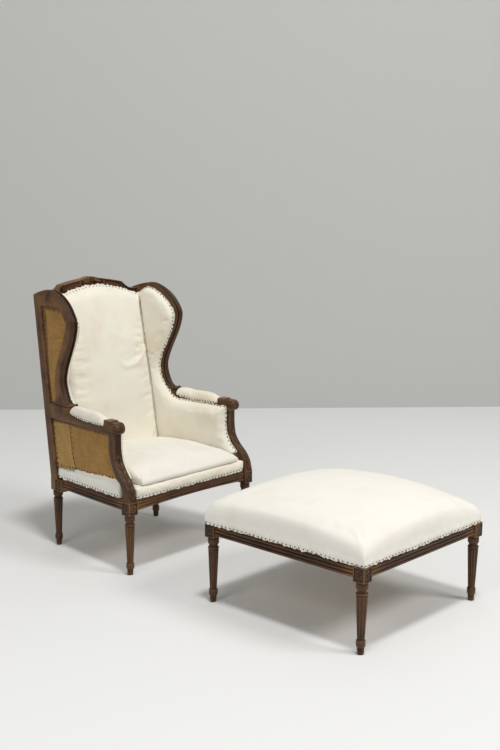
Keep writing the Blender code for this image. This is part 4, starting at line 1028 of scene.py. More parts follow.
# %% Wings
WING_FACE, WING_FOOT, WING_THICK, WING_REED = 0.033, 0.090, 0.040, 0.008
OPENING_TOP = STILE_TOP - 0.040
WING_SHARES = (
    (0.948, 0.004), (0.812, 0.04), (0.731, 0.125), (0.695, 0.215), (0.725, 0.30), (0.797, 0.40),
    (0.892, 0.51), (0.958, 0.60), (1, 0.70), (0.979, 0.77), (0.880, 0.855), (0.755, 0.92),
    (0.58, 0.975), (0.40, 1), (0.205, 0.98), (0, 0.945),
)
WING_STEPS, WING_JOINT = 8, 13
WING_BEADS = ((0.10, 0.085, 0.92), (0.53, 0.105, 0.86), (0.74, 0.10, 1.0), (0.93, 0.09, 0.92))
WING_FACE_STEPS, HOLLOW_TO, HOLLOW_BASE, REED_SIDE_BASE = 48, 0.42, 0.10, 0.45
FOOT_SHARE = 0.22


def wing_foot(point):
    """0 at the foot of the wing, 1 where its foot ends."""
    return (point.y - WING_BASE) / (WING_HEIGHT * FOOT_SHARE)


def wing_stations():
    """Stations along the wing's edge: (along, up) and the direction across the wood."""
    corner = stile_back(WING_BASE + WING_HEIGHT)
    places = []
    for forward, rise in WING_SHARES:
        places.append((corner - WING_DEPTH * forward, WING_BASE + WING_HEIGHT * rise))
    path = [Vector(point) for point in curve_through(places, WING_STEPS)]
    stations = []
    for i, point in enumerate(path):
        run = path[min(i + 1, len(path) - 1)] - path[max(i - 1, 0)]
        across = Vector((run.y, -run.x)).normalized()
        if wing_foot(point) < 1:
            across = Vector((1, 0)).lerp(across, max(wing_foot(point), 0) ** 2).normalized()
        stations.append((point, across))
    return stations


def wing_foot_point(point, across):
    """Where the wing's wood ends behind its face."""
    low = point + across * (WING_FACE + max(1 - wing_foot(point), 0) ** 3 * (WING_FOOT - WING_FACE))
    return Vector((low.x, min(low.y, OPENING_TOP)))


WING_EDGE = wing_stations()
JOINT_STATION = WING_STEPS * WING_JOINT
WING_FRONT = [(*station, wing_foot_point(*station)) for station in WING_EDGE[: JOINT_STATION + 1]]


def wing_top_stations():
    """The board over the wing, cut to the raked front of the stile."""
    low = Vector((stile_front(OPENING_TOP), OPENING_TOP))
    stations = WING_EDGE[JOINT_STATION:]
    kept = []
    for (here, across), (after, _) in zip(stations, stations[1:]):
        kept.append((here, across, Vector((min(here.x, low.x), OPENING_TOP))))
        if after.x > stile_front(after.y):
            share = (stile_front(here.y) - here.x) / (after.x - here.x)
            top = here.lerp(after, share)
            break
    top = Vector((stile_front(top.y), top.y))
    kept.append((top, (low - top).normalized(), low))
    kept[0] = (kept[0][0], kept[0][1], WING_FRONT[-1][2])
    return kept


def wing_section():
    """(raised, thick) over the wing's reeded face, then its inner and outer foot."""
    face = []
    for thick in evenly(0, 1, WING_FACE_STEPS):
        base = HOLLOW_BASE if thick < HOLLOW_TO else REED_SIDE_BASE
        face.append((moulding(thick, WING_BEADS, base), thick))
    return [(0.0, 0.0), *face, (0.0, 1.0), (-1.0, 1.0), (-1.0, 0.0)]


for hand, side in SIDES:
    inner = BLOCK_HALF - WING_THICK

    def wing_place(station, raised, thick):
        point, across, low = station
        spot = low if raised < 0 else point + across * (WING_REED * (1 - raised))
        return side_point(side, spot.x, inner + WING_THICK * thick, spot.y)

    def curl_place(out, a, b):
        centre = WING_EDGE[0][0] + Vector((0.003, 0.0062))
        return side_point(side, centre.x + a * 0.0075, out, centre.y + b * 0.0060)

    for part, stations in (("front", WING_FRONT), ("top", wing_top_stations())):
        bm = bmesh.new()
        bar(bm, wing_section(), stations, wing_place)
        if part == "front":
            bar(bm, circle(18), [inner + 0.0015 + WING_THICK * 0.925 * i / 4 for i in range(5)], curl_place)
        node = f"wing_{part}_{hand}"
        finished("reeded_" + node, bm, WALNUT["PIECE"], "chair", node, crease=45)

# %% [markdown]
# ## The crest rail
# The crest arches between the stiles and steps down at both shoulders. Along its top runs a bead, with
# a hollow and a narrow fillet under it, and in the middle a small carved spray stands up: a flower with
# leaves to each side. The rail is a bar again, and the spray is pushed out of a finely divided face.

# %% Crest
CREST_THICK, CREST_PEAK, CREST_SHOULDER, CREST_END = 0.040, 1.076, 1.0485, 1.017
SHOULDER_REACH, STEP_WIDTH, SPRAY_REACH, SPRAY_RISE = 0.161, 0.052, 0.052, 0.006
TACK_MIDDLE, TACK_DROP, CREST_UNDER = 1.043, 0.046, 0.030
CREST_FACE_STEPS = 44
CREST_BEADS = ((0.12, 0.12, 1.0), (0.34, 0.06, 0.55), (0.88, 0.09, 0.62))


def crest_line(x):
    """Height of the crest's top edge at a distance from the centre."""
    x = abs(x)
    if x < SHOULDER_REACH:
        top = CREST_SHOULDER + (CREST_PEAK - SPRAY_RISE - CREST_SHOULDER) * (1 - (x / SHOULDER_REACH) ** 1.6)
        if x < SPRAY_REACH:
            top += SPRAY_RISE * (1 + cos(pi * x / SPRAY_REACH)) / 2 * (0.86 + 0.14 * cos(x * 420))
        return top
    share = min((x - SHOULDER_REACH) / STEP_WIDTH, 1)
    return CREST_SHOULDER + (CREST_END - CREST_SHOULDER) * sin(pi / 2 * share)


def tack_line(share):
    """Height of the inside back's top edge, at a share of the crest's half length."""
    return TACK_MIDDLE - TACK_DROP * abs(share) ** 1.8


def spray(x, down):
    """How far the carved spray stands out of the crest's face. down runs from 0 at the top to 1."""
    below = (down - 0.42) * 0.036
    flower = hypot(x, below) / 0.0125
    petals = 0.66 + 0.34 * cos(6 * atan2(below, x))
    height = 0.0085 * sqrt(max(1 - (flower / petals) ** 2, 0)) * (1 - 0.55 * bell(flower, 0.26))
    for way in (-1, 1):
        far = (way * x - 0.010) / (SPRAY_REACH - 0.012)
        if 0 < far < 1:
            bend = 0.42 + 0.16 * sin(far * pi)
            wide = 0.38 * (1 - far) ** 0.5 * (0.78 + 0.22 * abs(cos(far * 11)))
            inside = 1 - ((down - bend) / max(wide, 0.01)) ** 2
            if inside > 0:
                vein = 0.5 + 0.5 * cos(far * 34 - abs(down - bend) * 16)
                height = max(height, 0.0068 * sqrt(inside) * (0.30 + 0.70 * vein))
    return height


CREST_HALF = stile_inner(back_depth(CREST_END)) - JOINT
CREST_BASE, CREST_RELIEF, CREST_SETBACK = 0.10, 0.0075, 0.007
RIBS, RIB_PITCH, RIB_RISE, RIB_SWELL = ((0.052, 0.067), (0.153, 0.177)), 0.0050, 0.0045, 0.0028
crest_section = [("face", down) for down in evenly(0, 1, CREST_FACE_STEPS)] + [("rear", 1), ("rear", 0)]
fine_places = [s for s in range(-260, 261) if abs(s) < 100 or abs(s) > 200]
coarse_places = {round(s / 100, 4) for s in range(-100, 101)}
crest_places = sorted(coarse_places | {round(s / 400, 4) for s in fine_places})


def crest_point(share, part, down):
    """A point of the crest rail: its moulded and carved face, or its plain back."""
    x = share * CREST_HALF
    top, low = crest_line(x), tack_line(share) - CREST_UNDER
    up = between(top, low, down)
    if part == "rear":
        depth = back_depth(up)
    else:
        visible = clamp((top - up) / (top - tack_line(share)))
        stand = CREST_RELIEF * moulding(visible, CREST_BEADS, CREST_BASE) if visible < 1 else 0.0
        if abs(x) < SPRAY_REACH:
            stand = max(stand if abs(x) > SPRAY_REACH * 0.9 else 0.0, spray(x, visible))
        if any(near < abs(x) < far for near, far in RIBS) and 0 < visible < 0.95:
            stand = RIB_RISE + RIB_SWELL * cos(2 * pi * (abs(x) - RIBS[0][0]) / RIB_PITCH)
        depth = back_depth(up) - CREST_THICK + CREST_SETBACK - stand
    return chair_point(share * (stile_inner(depth) - JOINT), depth, up)


bm = bmesh.new()
bar(bm, crest_section, crest_places, crest_point)
finished("carved_crest_rail", bm, WALNUT["ACROSS"], "chair", "crest_rail", crease=50)

# %% [markdown]
# ## How the padding is made
# Every pad starts as the form that the upholsterer packs: a divided cube, or a flat outline with a
# thickness, put into its place by a function. The form is remeshed into even cells and its rims are
# relaxed until they are as round as stuffing makes them. Then it becomes cloth. Held at its tacks and
# blown up a little from inside, it puckers between them as the real cover does. All pads are simulated
# together. At the end each one gets its dents and creases, and one subdivision.

# %% Padding tools
SIMULATION_FRAMES = 20
CLOTH_SETTINGS = {
    "quality": 4, "mass": 0.3, "use_pressure": True, "uniform_pressure_force": 4.0,
    "vertex_group_mass": "held", "shrink_min": -0.02, "bending_stiffness": 0.6,
}
DENT_DEPTH, DENT_WIDTH = 0.0011, 0.0075
batch = []


def padded_cube(cells, form):
    """A cube from -1 to 1 each way, with its own cell count each way, put in place by form()."""
    bm = bmesh.new()
    for axis in range(3):
        a, b = [i for i in range(3) if i != axis]
        for end in (-1, 1):
            made = bmesh.ops.create_grid(bm, x_segments=cells[a], y_segments=cells[b], size=1)
            for vert in made["verts"]:
                spot = [0, 0, 0]
                spot[a], spot[b], spot[axis] = vert.co.x, vert.co.y, end
                vert.co = spot
    bmesh.ops.remove_doubles(bm, verts=bm.verts, dist=1e-5)
    for vert in bm.verts:
        vert.co = form(*vert.co)
    return bm


def evaluated_copy(piece):
    """A mesh with the piece's modifiers applied."""
    graph = bpy.context.evaluated_depsgraph_get()
    return bpy.data.meshes.new_from_object(piece.evaluated_get(graph))


def relaxed(points, edges, weights, rounds):
    """Moves every point towards the mean of its neighbours, as far as its weight says."""
    degree = np.bincount(edges.ravel(), minlength=len(points))[:, None]
    for _ in range(rounds):
        total = np.zeros_like(points)
        np.add.at(total, edges[:, 0], points[edges[:, 1]])
        np.add.at(total, edges[:, 1], points[edges[:, 0]])
        points = points + weights[:, None] * (total / degree - points)
    return points


def read_points(mesh):
    """The mesh's points as an array."""
    flat = np.empty(len(mesh.vertices) * 3)
    mesh.vertices.foreach_get("co", flat)
    return flat.reshape(-1, 3)


def stuff(name, bm, voxel, soften, rounds, held, tacks, cap, thin=None):
    """Remeshes and relaxes a pad, and puts it in the batch. thin() draws its points in at tacked edges."""
    piece = in_scene(name, mesh_of(name, bm))
    remesh = piece.modifiers.new("even cells", "REMESH")
    remesh.mode, remesh.voxel_size = "VOXEL", voxel
    even = evaluated_copy(piece)
    piece.modifiers.clear()
    old, piece.data = piece.data, even
    bpy.data.meshes.remove(old)
    edges = np.empty(len(even.edges) * 2, dtype=np.int64)
    even.edges.foreach_get("vertices", edges)
    points = read_points(even)
    weights = np.array([soften(Vector(point)) for point in points])
    points = relaxed(points, edges.reshape(-1, 2), np.full(len(points), 0.4), 2)
    if thin:
        points = np.array([thin(Vector(point)) for point in points])
        weights = np.array([soften(Vector(point)) for point in points])
    points = relaxed(points, edges.reshape(-1, 2), weights, rounds)
    even.vertices.foreach_set("co", points.ravel())
    even.update()
    near = KDTree(max(len(tacks), 1))
    for i, spot in enumerate(tacks):
        near.insert(spot, i)
    near.balance()
    group = piece.vertex_groups.new(name="held")
    for i, point in enumerate(points):
        at_tack = bool(tacks) and near.find(point)[2] < voxel * 0.75
        if at_tack or held(Vector(point)):
            group.add([i], 1.0, "REPLACE")
    batch.append({"piece": piece, "start": points, "near": near if tacks else None, "cap": cap})
    print(f"{name}: {len(points)} points, {len(tacks)} tacks")


def simulate():
    """Blows up every pad of the batch as held cloth, and caps how far its points move."""
    scene = bpy.context.scene
    for row in batch:
        cloth = row["piece"].modifiers.new("cloth", "CLOTH")
        for setting, value in CLOTH_SETTINGS.items():
            setattr(cloth.settings, setting, value)
        cloth.settings.effector_weights.gravity = 0
        cloth.point_cache.frame_start, cloth.point_cache.frame_end = 1, SIMULATION_FRAMES
    for frame_number in range(1, SIMULATION_FRAMES + 1):
        scene.frame_set(frame_number)
    for row in batch:
        blown = evaluated_copy(row["piece"])
        moves = read_points(blown) - row["start"]
        lengths = np.linalg.norm(moves, axis=1)[:, None]
        moves *= np.minimum(row["cap"] * np.tanh(lengths / row["cap"]) / np.maximum(lengths, 1e-9), 1)
        row["piece"].data.vertices.foreach_set("co", (row["start"] + moves).ravel())
        row["piece"].modifiers.clear()
        bpy.data.meshes.remove(blown)
    scene.frame_set(1)
    print(f"{len(batch)} pads simulated over {SIMULATION_FRAMES} frames")


def lumps(point, size):
    """The gentle unevenness of hand-packed stuffing at a point."""
    broad = noise.noise(point * 9.0) + 0.5 * noise.noise(point * 21.0 + Vector((3.1, 0, 0)))
    return size * broad


def cover(row, look, body, node, fill, shape):
    """Shapes a pad's last small forms and turns it into a finished, declared piece."""
    piece, mesh = row["piece"], row["piece"].data
    mesh.update()
    points = read_points(mesh)
    normals = [Vector(normal.vector) for normal in mesh.vertex_normals]
    moved = []
    for point, normal in zip(points, normals):
        point = Vector(point)
        push = shape(point, normal)
        if row["near"]:
            push -= DENT_DEPTH * bell(row["near"].find(point)[2], DENT_WIDTH)
        moved.append(point + normal * push)
    mesh.vertices.foreach_set("co", np.array(moved).ravel())
    mesh.update()
    mesh.materials.clear()
    mesh.materials.append(look)
    mesh.shade_smooth()
    finer = piece.modifiers.new("finer", "SUBSURF")
    finer.levels = finer.render_levels = 1
    declare(piece, body, node, look)

# %% [markdown]
# ## Tack lines
# The tacks stand about 18 mm apart along every edge of the cloth. Each line is a path in space with
# the direction in which its tacks point, and it serves three times: it holds the cloth, it places the
# tacks, and it carries the raw edge of the cloth that sticks out beyond them.

# %% Tack lines
SEAT_GAP, BASE_HEIGHT = 0.0018, 0.044
BASE_BOTTOM = RAIL_TOP + SEAT_GAP
BASE_TOP = BASE_BOTTOM + BASE_HEIGHT
PAD_OUT = BLOCK_HALF - ARM_RAIL_WIDTH - JOINT
tack_lines = []


def border_top(along):
    """Height of the seat's side border, which rises towards the front."""
    return RAIL_TOP + between(0.074, 0.047, along / SIDE_RUN)


DOWN, FORWARD = Vector((0, 0, -1)), Vector((0, -1, 0))


def tack_line_of(kind, body, path, out_of, edge_to, margin, pitch=0.018):
    """Notes a tack line: out_of is where its heads face, edge_to where its raw edge lies."""
    path = [Vector(point) for point in path]
    spots = [spot for spot, _ in along_path(path, pitch)]
    line = {"kind": kind, "body": body, "path": path, "out_of": out_of, "edge_to": edge_to, "margin": margin}
    tack_lines.append({**line, "spots": spots})
    return spots


STOOL_EDGE = STOOL_HALF_SPAN + BLOCK_HALF + 0.0005
STOOL_TACK_UP = STOOL_RAIL_TOP + 0.0058
STOOL_HEM, FRONT_HEM, BORDER_HEM, COVER_HEM = 0.0066, 0.0055, 0.007, 0.0055
BACK_HEM, ARM_PAD_HEM = 0.006, 0.0045
stool_tacks = []
for quarter in range(4):
    spin = STOOL @ Matrix.Rotation(quarter * pi / 2, 4, "Z")
    ends = [spin @ Vector((x, -STOOL_EDGE, STOOL_TACK_UP)) for x in (-STOOL_EDGE + 0.004, STOOL_EDGE - 0.004)]
    facing_out = (spin.to_3x3() @ FORWARD).normalized()
    stool_tacks += tack_line_of("footstool", "footstool", ends, facing_out, DOWN, STOOL_HEM)

# Front border of the seat, side borders
reach = FRONT_SPAN / 2 - BLOCK_HALF - 0.004
front_path = [chair_point(x, -RAIL_OUT - 0.0025, BASE_BOTTOM + 0.0075) for x in (-reach, 0, reach)]
front_tacks = tack_line_of("seat_front", "chair", front_path, FORWARD, DOWN, FRONT_HEM)
border_tacks = {}
for hand, side in SIDES:
    ends = (post_back(border_top(0)) + 0.004, stile_front(0.30) - 0.004)
    path = [side_point(side, along, RAIL_OUT - 0.0022, BASE_BOTTOM + 0.0085) for along in ends]
    outward = side_way(side, out=1)
    border_tacks[hand] = tack_line_of("seat_border_" + hand, "chair", path, outward, DOWN, BORDER_HEM)

# Inside cover of wing and arm
EDGE, STILE_MARGIN, CROWN_MARGIN, ARM_MARGIN = 0.014, 0.014, 0.007, 0.006


def side_cover_edge():
    """(along, up) of the cover's free edge: up the post, along the arm, round the foot and up the wing."""
    wing = []
    for point, across in WING_EDGE[::2]:
        margin = EDGE + STILE_MARGIN * clamp((point.x - stile_front(point.y) + 0.075) / 0.065) ** 2
        margin += CROWN_MARGIN * clamp((point.y - 0.90) / 0.08)
        place = point + across * margin
        if place.x < stile_front(place.y) and place.y > WING_BASE + EDGE:
            wing.append(place)
    arm_edge = ARM_TOP - JOINT - ARM_MARGIN
    curl = [Vector((WING_TIP - EDGE * 2, arm_edge + PLATE_RISE))]
    curl.append(Vector((WING_TIP + EDGE / 2, arm_edge + EDGE)))
    post = [Vector((post_place(up)[0], up)) for up in evenly(border_top(0) + JOINT, arm_edge, 8)]
    post[0].y = border_top(post[0].x) + JOINT
    return post + curl + wing


COVER_OUTLINE = side_cover_edge()
cover_tacks = {}
for hand, side in SIDES:
    path = []
    for i, point in enumerate(COVER_OUTLINE):
        run = COVER_OUTLINE[min(i + 1, len(COVER_OUTLINE) - 1)] - COVER_OUTLINE[max(i - 1, 0)]
        into = Vector((run.y, -run.x)).normalized() * 0.0010
        path.append(side_point(side, point.x + into.x, PAD_OUT - 0.0025, point.y + into.y))
    kind, inward = "inside_cover_" + hand, side_way(side, out=-1)
    cover_tacks[hand] = tack_line_of(kind, "chair", path, inward, None, COVER_HEM, 0.017)

# Top of the inside back, under the crest
back_path = []
for share in evenly(-1, 1, 32):
    up = tack_line(share) - 0.006
    depth = back_depth(up) - CREST_THICK - JOINT - 0.012
    back_path.append(chair_point(share * half_width(depth, PAD_OUT - 0.030), depth, up))
back_tacks = tack_line_of("inside_back", "chair", back_path, FORWARD, None, BACK_HEM)

# Arm pads: both long edges
PAD_WIDTH, PAD_HEIGHT, PAD_CROWN = 0.043, 0.036, 0.009


def arm_pad_seat(v):
    """Height of the wood under the arm pad."""
    return ARM_TOP + JOINT + ARM_TOP_RISE * max(v - RISE_START, 0) / (1 - RISE_START)


arm_pad_tacks = {}
for hand, side in SIDES:
    arm_pad_tacks[hand] = []
    for name, out, way in (("outer", PAD_OUT + PAD_WIDTH - 0.0010, 1), ("inner", PAD_OUT + 0.0016, -1)):
        path = [side_point(side, pad_place(v), out, arm_pad_seat(v) + 0.0050) for v in evenly(-0.9, 0.9, 8)]
        kind, facing_out = f"arm_pad_{name}_{hand}", side_way(side, out=way)
        arm_pad_tacks[hand] += tack_line_of(kind, "chair", path, facing_out, DOWN, ARM_PAD_HEM, 0.014)
print("tack lines on the calico:", len(tack_lines))

# %% [markdown]
# ## The footstool's pad
# It is one full dome on an upright border. The rim between the two is soft, the four corners stay a
# little sharper. The far left corner is packed fuller than the near right one.

# %% Footstool pad
STOOL_BACK = STOOL.inverted()
STOOL_BORDER, STOOL_CROWN, STOOL_PACKING = 0.067, 0.052, 0.019


def stool_pad_form(u, v, w):
    """The domed footstool pad: an upright border, then a full crown."""
    reach = STOOL_HALF_SPAN + BLOCK_HALF - 0.006 + 0.002 * (1 - w * w) + 0.006 * (1 - max(w, 0) ** 2)
    reach *= 1 - 0.0235 * u * u * v * v * max(w, 0)
    height = STOOL_BORDER + STOOL_CROWN * (1 - (u * u + v * v) / 2)
    height += STOOL_PACKING * (1 - abs(u) ** 3) * (1 - abs(v) ** 3)
    return STOOL @ Vector((u * reach, v * reach, STOOL_RAIL_TOP + SEAT_GAP + height * (w + 1) / 2))


def stool_soft(point):
    """Relaxing weight: full over the rim, little on the upright corners."""
    return 0.10 + 0.40 * clamp((point.z - STOOL_RAIL_TOP - 0.030) / 0.030)


stuff(
    "padded_footstool_top", padded_cube((48, 48, 10), stool_pad_form), 0.0075, stool_soft, 19,
    lambda p: p.z < STOOL_RAIL_TOP + 0.0035, stool_tacks, 0.0045,
)

# %% [markdown]
# ## Seat
# The seat is two pieces: a firm base with a rolled front border, tacked to the front rail, and a soft
# crowned top that sinks onto it, so that a groove runs between them.

# %% Seat base and seat top
SEAM_OUT = PAD_OUT - 0.034
BACK_LEAN, BACK_THICK = 0.026, 0.038
TOP_EDGE, TOP_SLOPE, TOP_HUMP, TOP_CROWN, TOP_REAR = 0.036, 0.007, 0.020, 0.024, 0.018


def seat_base_form(u, v, w):
    """The stuffed base, over the webbing and between the side borders."""
    depth = between(-RAIL_OUT, DEPTH_SPAN - RAIL_OUT, (v + 1) / 2)
    x = u * half_width(depth, -BLOCK_HALF - 0.002)
    if v < 0:
        depth -= 0.006 * (1 - w * w) * v * v * (1 - u**8)
    return chair_point(x, depth, BASE_BOTTOM + BASE_HEIGHT * (w + 1) / 2)


def pad_front(up):
    """Depth of the inside back's front at its sides."""
    lean = BACK_LEAN * (STILE_TOP - up) / (STILE_TOP - BASE_TOP)
    return back_depth(up) - CREST_THICK - JOINT - BACK_THICK - lean


def seat_top_form(u, v, w):
    """The crowned top, its front edge drawn in over the border."""
    hump, middle = (1 - v * v) ** 0.75, 1 - u * u
    rise = TOP_EDGE + TOP_SLOPE * v + TOP_HUMP * hump + TOP_CROWN * middle * hump
    rise += TOP_REAR * middle * max(v, 0) ** 2
    up = BASE_TOP + JOINT + (rise - 0.002) * (w + 1) / 2
    rear = pad_front(up) - 0.003
    front_in, side_in = (0.014, 0.010) if w > 0 else (0.003, 0.002)
    depth = between(-RAIL_OUT + front_in * w * w, rear, (v + 1) / 2)
    depth -= 0.002 * (1 - w * w) * max(-v, 0) ** 3 * (1 - u**4)
    x = u * (half_width(depth, SEAM_OUT) - side_in * w * w * abs(u) ** 3)
    return chair_point(x, depth, up)


def front_soft(point):
    """Relaxing weight: full near the front edge, except down in the groove."""
    groove = 1 - 0.85 * bell(point.z - BASE_TOP, 0.009)
    return 0.06 + 0.42 * groove * clamp((CHAIR_Y + 0.06 - point.y) / 0.03)


stuff(
    "padded_seat_base", padded_cube((40, 32, 6), seat_base_form), 0.007, front_soft, 6,
    lambda p: p.y > CHAIR_Y + 0.03 or p.z < BASE_BOTTOM + 0.002, front_tacks, 0.003,
)
stuff(
    "padded_seat_top", padded_cube((44, 40, 10), seat_top_form), 0.0062, front_soft, 10,
    lambda p: p.z < BASE_TOP + 0.003 or p.y > CHAIR_Y + pad_front(p.z) - 0.012, [], 0.0035,
)

# %% Seat borders
for hand, side in SIDES:
    first = post_back(border_top(0)) + JOINT

    def border_form(u, v, w):
        tall = (w + 1) / 2
        last = stile_front(BASE_BOTTOM + 0.045 * tall) - JOINT
        along = between(first, last, (v + 1) / 2)
        bulge = -0.0045 * abs(2 * tall - 0.72) ** 1.6
        out = between(-BLOCK_HALF - 0.0017, RAIL_OUT + bulge, (u + 1) / 2)
        low = BASE_BOTTOM + 0.0022 * clamp((along - 0.43) / 0.03)
        return side_point(side, along, out, low + (border_top(along) - JOINT - low) * tall)

    stuff(
        "padded_seat_border_" + hand, padded_cube((6, 60, 12), border_form), 0.0045, lambda p: 0.3, 3,
        lambda p: p.z < BASE_BOTTOM + 0.002, border_tacks[hand], 0.0025,
    )

# %% [markdown]
# ## Wings, arms and back
# The cover inside each wing runs on down inside the arm. It is cut to one outline, which is extruded
# and then drawn in along its tacked edge, so it rises from the tacks in a full round. The inside back
# leans with the stiles, is drawn in along the crest, and rolls back at both sides to the seam.

# %% Inside covers of wings and arms
COVER_FULL, COVER_ROUND, COVER_EDGE = 0.029, 0.026, 0.0035


def distance_to(edge, point):
    """Distance of a point in the side's plane from a path."""
    best = 1.0
    for a, b in zip(edge, edge[1:]):
        run = b - a
        t = clamp((point - a).dot(run) / max(run.length_squared, 1e-12))
        best = min(best, (point - a - run * t).length)
    return best


def beside(side, point):
    """(along, out) of a point of the chair, measured beside the side rail."""
    shift = Vector((side * point.x - FRONT_SPAN / 2, point.y - CHAIR_Y))
    return shift.y * cos(SPLAY) - shift.x * sin(SPLAY), shift.x * cos(SPLAY) + shift.y * sin(SPLAY)


def rounded(t):
    """The height of a quarter round, a share t in from its edge."""
    return sqrt(1 - (1 - t) ** 2)


def cover_thick(along, up):
    """Thickness of the inside cover at a place on the side of the chair."""
    away = distance_to(COVER_OUTLINE, Vector((along, up)))
    return between(COVER_EDGE, COVER_FULL, rounded(clamp(away / COVER_ROUND)))


rear_ups = (border_top(SIDE_RUN) + JOINT, ARM_UNDERSIDE, COVER_OUTLINE[-1].y)
cover_outline = [*[Vector((stile_front(up), up)) for up in rear_ups], *COVER_OUTLINE[::-1]]
for hand, side in SIDES:

    def thin(point):
        along, out = beside(side, point)
        deep = clamp((PAD_OUT - out) / COVER_FULL)
        return side_point(side, along, PAD_OUT - deep * cover_thick(along, point.z), point.z)

    def cover_held(point):
        along, out = beside(side, point)
        sewn = out > PAD_OUT - 0.002 or along > stile_front(point.z) - 0.012
        return sewn or point.z < border_top(along) + 0.012

    stuff(
        "padded_inside_wing_and_arm_" + hand, board(side, cover_outline, PAD_OUT, -COVER_FULL), 0.0056,
        lambda p: 0.25, 3, cover_held, cover_tacks[hand], 0.0045, thin,
    )

# %% Inside back
WING_FROM = 0.90


def back_form(u, v, w):
    """The inside back, as packed before its top is drawn in."""
    low = BASE_TOP + 0.003
    up = low + (tack_line(u) - low) * (w + 1) / 2
    rear = back_depth(up) - CREST_THICK - JOINT
    over_seat = max(up - BASE_TOP - TOP_EDGE - TOP_HUMP - TOP_CROWN, 0) / (STILE_TOP - BASE_TOP)
    front = pad_front(up) - 0.024 * (1 - u**4) * (1 - w * w) * min(over_seat / 0.25, 1)
    depth = between(front, rear, (v + 1) / 2)
    reach = SEAM_OUT
    if up > WING_FROM:
        fuller = COVER_FULL - cover_thick(along_at(depth, PAD_OUT), up)
        reach += (fuller + 0.0020) * clamp((up - WING_FROM) / 0.05)
    return chair_point(u * half_width(depth, reach), depth, up)


def thin_back(point):
    """Draws the inside back in where it is tacked under the crest."""
    depth = point.y - CHAIR_Y
    share = clamp(point.x / half_width(depth, SEAM_OUT), -1, 1)
    t = clamp((tack_line(share) - point.z) / (0.040 - 0.030 * share**6))
    rear = back_depth(point.z) - CREST_THICK - JOINT
    full = max(rounded(t), 0.10 + 0.45 * share**8)
    return chair_point(point.x, rear - (rear - depth) * full, point.z)


def back_soft(point):
    """Relaxing weight: full at the two rounded sides."""
    side_gap = half_width(point.y - CHAIR_Y, SEAM_OUT) - abs(point.x)
    return 0.08 + 0.40 * clamp(1 - side_gap / 0.05) * clamp((0.985 - point.z) / 0.05)


def back_held(point):
    """The parts of the inside back that don't move: its rear, its foot and its sewn sides."""
    depth = point.y - CHAIR_Y
    hidden = depth > back_depth(point.z) - CREST_THICK - 0.012 and point.z < STILE_TOP - 0.06
    sewn = half_width(depth, SEAM_OUT) - abs(point.x) < 0.0065
    return hidden or sewn or point.z < BASE_TOP + 0.012


stuff(
    "padded_inside_back", padded_cube((40, 8, 56), back_form), 0.0066, back_soft, 12,
    back_held, back_tacks, 0.0045, thin_back,
)

# %% Arm pads
for hand, side in SIDES:

    def arm_pad_form(u, v, w):
        out = PAD_OUT + JOINT + (1 + u * (1 - 0.12 * w * w)) * PAD_WIDTH / 2
        drop = 1 - (0.5 if v < 0 else 0.4) * abs(v) ** 3.6
        height = (PAD_HEIGHT * (1 - 0.35 * abs(u) ** 2.5) + PAD_CROWN * (1 - u * u)) * drop
        seat = arm_pad_seat(v)
        return side_point(side, pad_place(v), out, seat + height * (w + 1) / 2)

    stuff(
        "padded_arm_" + hand, padded_cube((10, 40, 8), arm_pad_form), 0.0038, lambda p: 0.35, 4,
        lambda p: p.z < ARM_TOP + 0.001, arm_pad_tacks[hand], 0.002,
    )

# %% Simulate and cover
simulate()

# Each dimple is (x, up, how deep, how wide); the fold is a path of (x, up)
DIMPLES = ((0.1556, 0.7714, 0.0065, 0.010), (0.0796, 0.7494, 0.0022, 0.008), (0.128, 0.752, 0.0050, 0.034))
FOLD = (
    (0.212, 0.766), (0.2058, 0.7529), (0.1657, 0.7263),
    (0.1228, 0.7086), (0.0702, 0.7025), (0.0335, 0.7244),
)
fold_path = [Vector(spot) for spot in FOLD]
STOOL_HALF_TOP = 0.3485


def back_shape(point, normal):
    """The hollow, dimples and crescent fold worn into the inside back."""
    push = lumps(point, 0.0015)
    if normal.y > -0.2:
        return push
    spot = Vector((point.x, point.z))
    for x, up, deep, wide in DIMPLES:
        push -= deep * exp(-(((spot.x - x) ** 2 + (spot.y - up) ** 2) / wide**2))
    away = distance_to(fold_path, spot)
    ends = clamp((spot.x - 0.02) / 0.05) * clamp((0.235 - spot.x) / 0.03)
    return push + ends * (0.0036 * bell(away, 0.0095) - 0.0018 * bell(away - 0.022, 0.012))


def stool_shape(point, normal):
    """Fuller at the far left corner, sunk a little at the near right one, and slightly lumpy."""
    local = STOOL_BACK @ point
    u, v = local.x / STOOL_HALF_TOP, local.y / STOOL_HALF_TOP
    top = clamp((point.z - STOOL_RAIL_TOP - 0.035) / 0.04)
    side = clamp((point.z - STOOL_RAIL_TOP + 0.002) / 0.012)
    full = 0.009 * side * exp(-((u + 1) ** 2 + (v - 1) ** 2) / 0.18)
    return full - 0.006 * top * exp(-((u - 1) ** 2 + (v + 1) ** 2) / 0.22) + lumps(point, 0.0012)


def lumpy(size):
    """A shape that is only gently uneven."""
    return lambda point, normal: lumps(point, size)


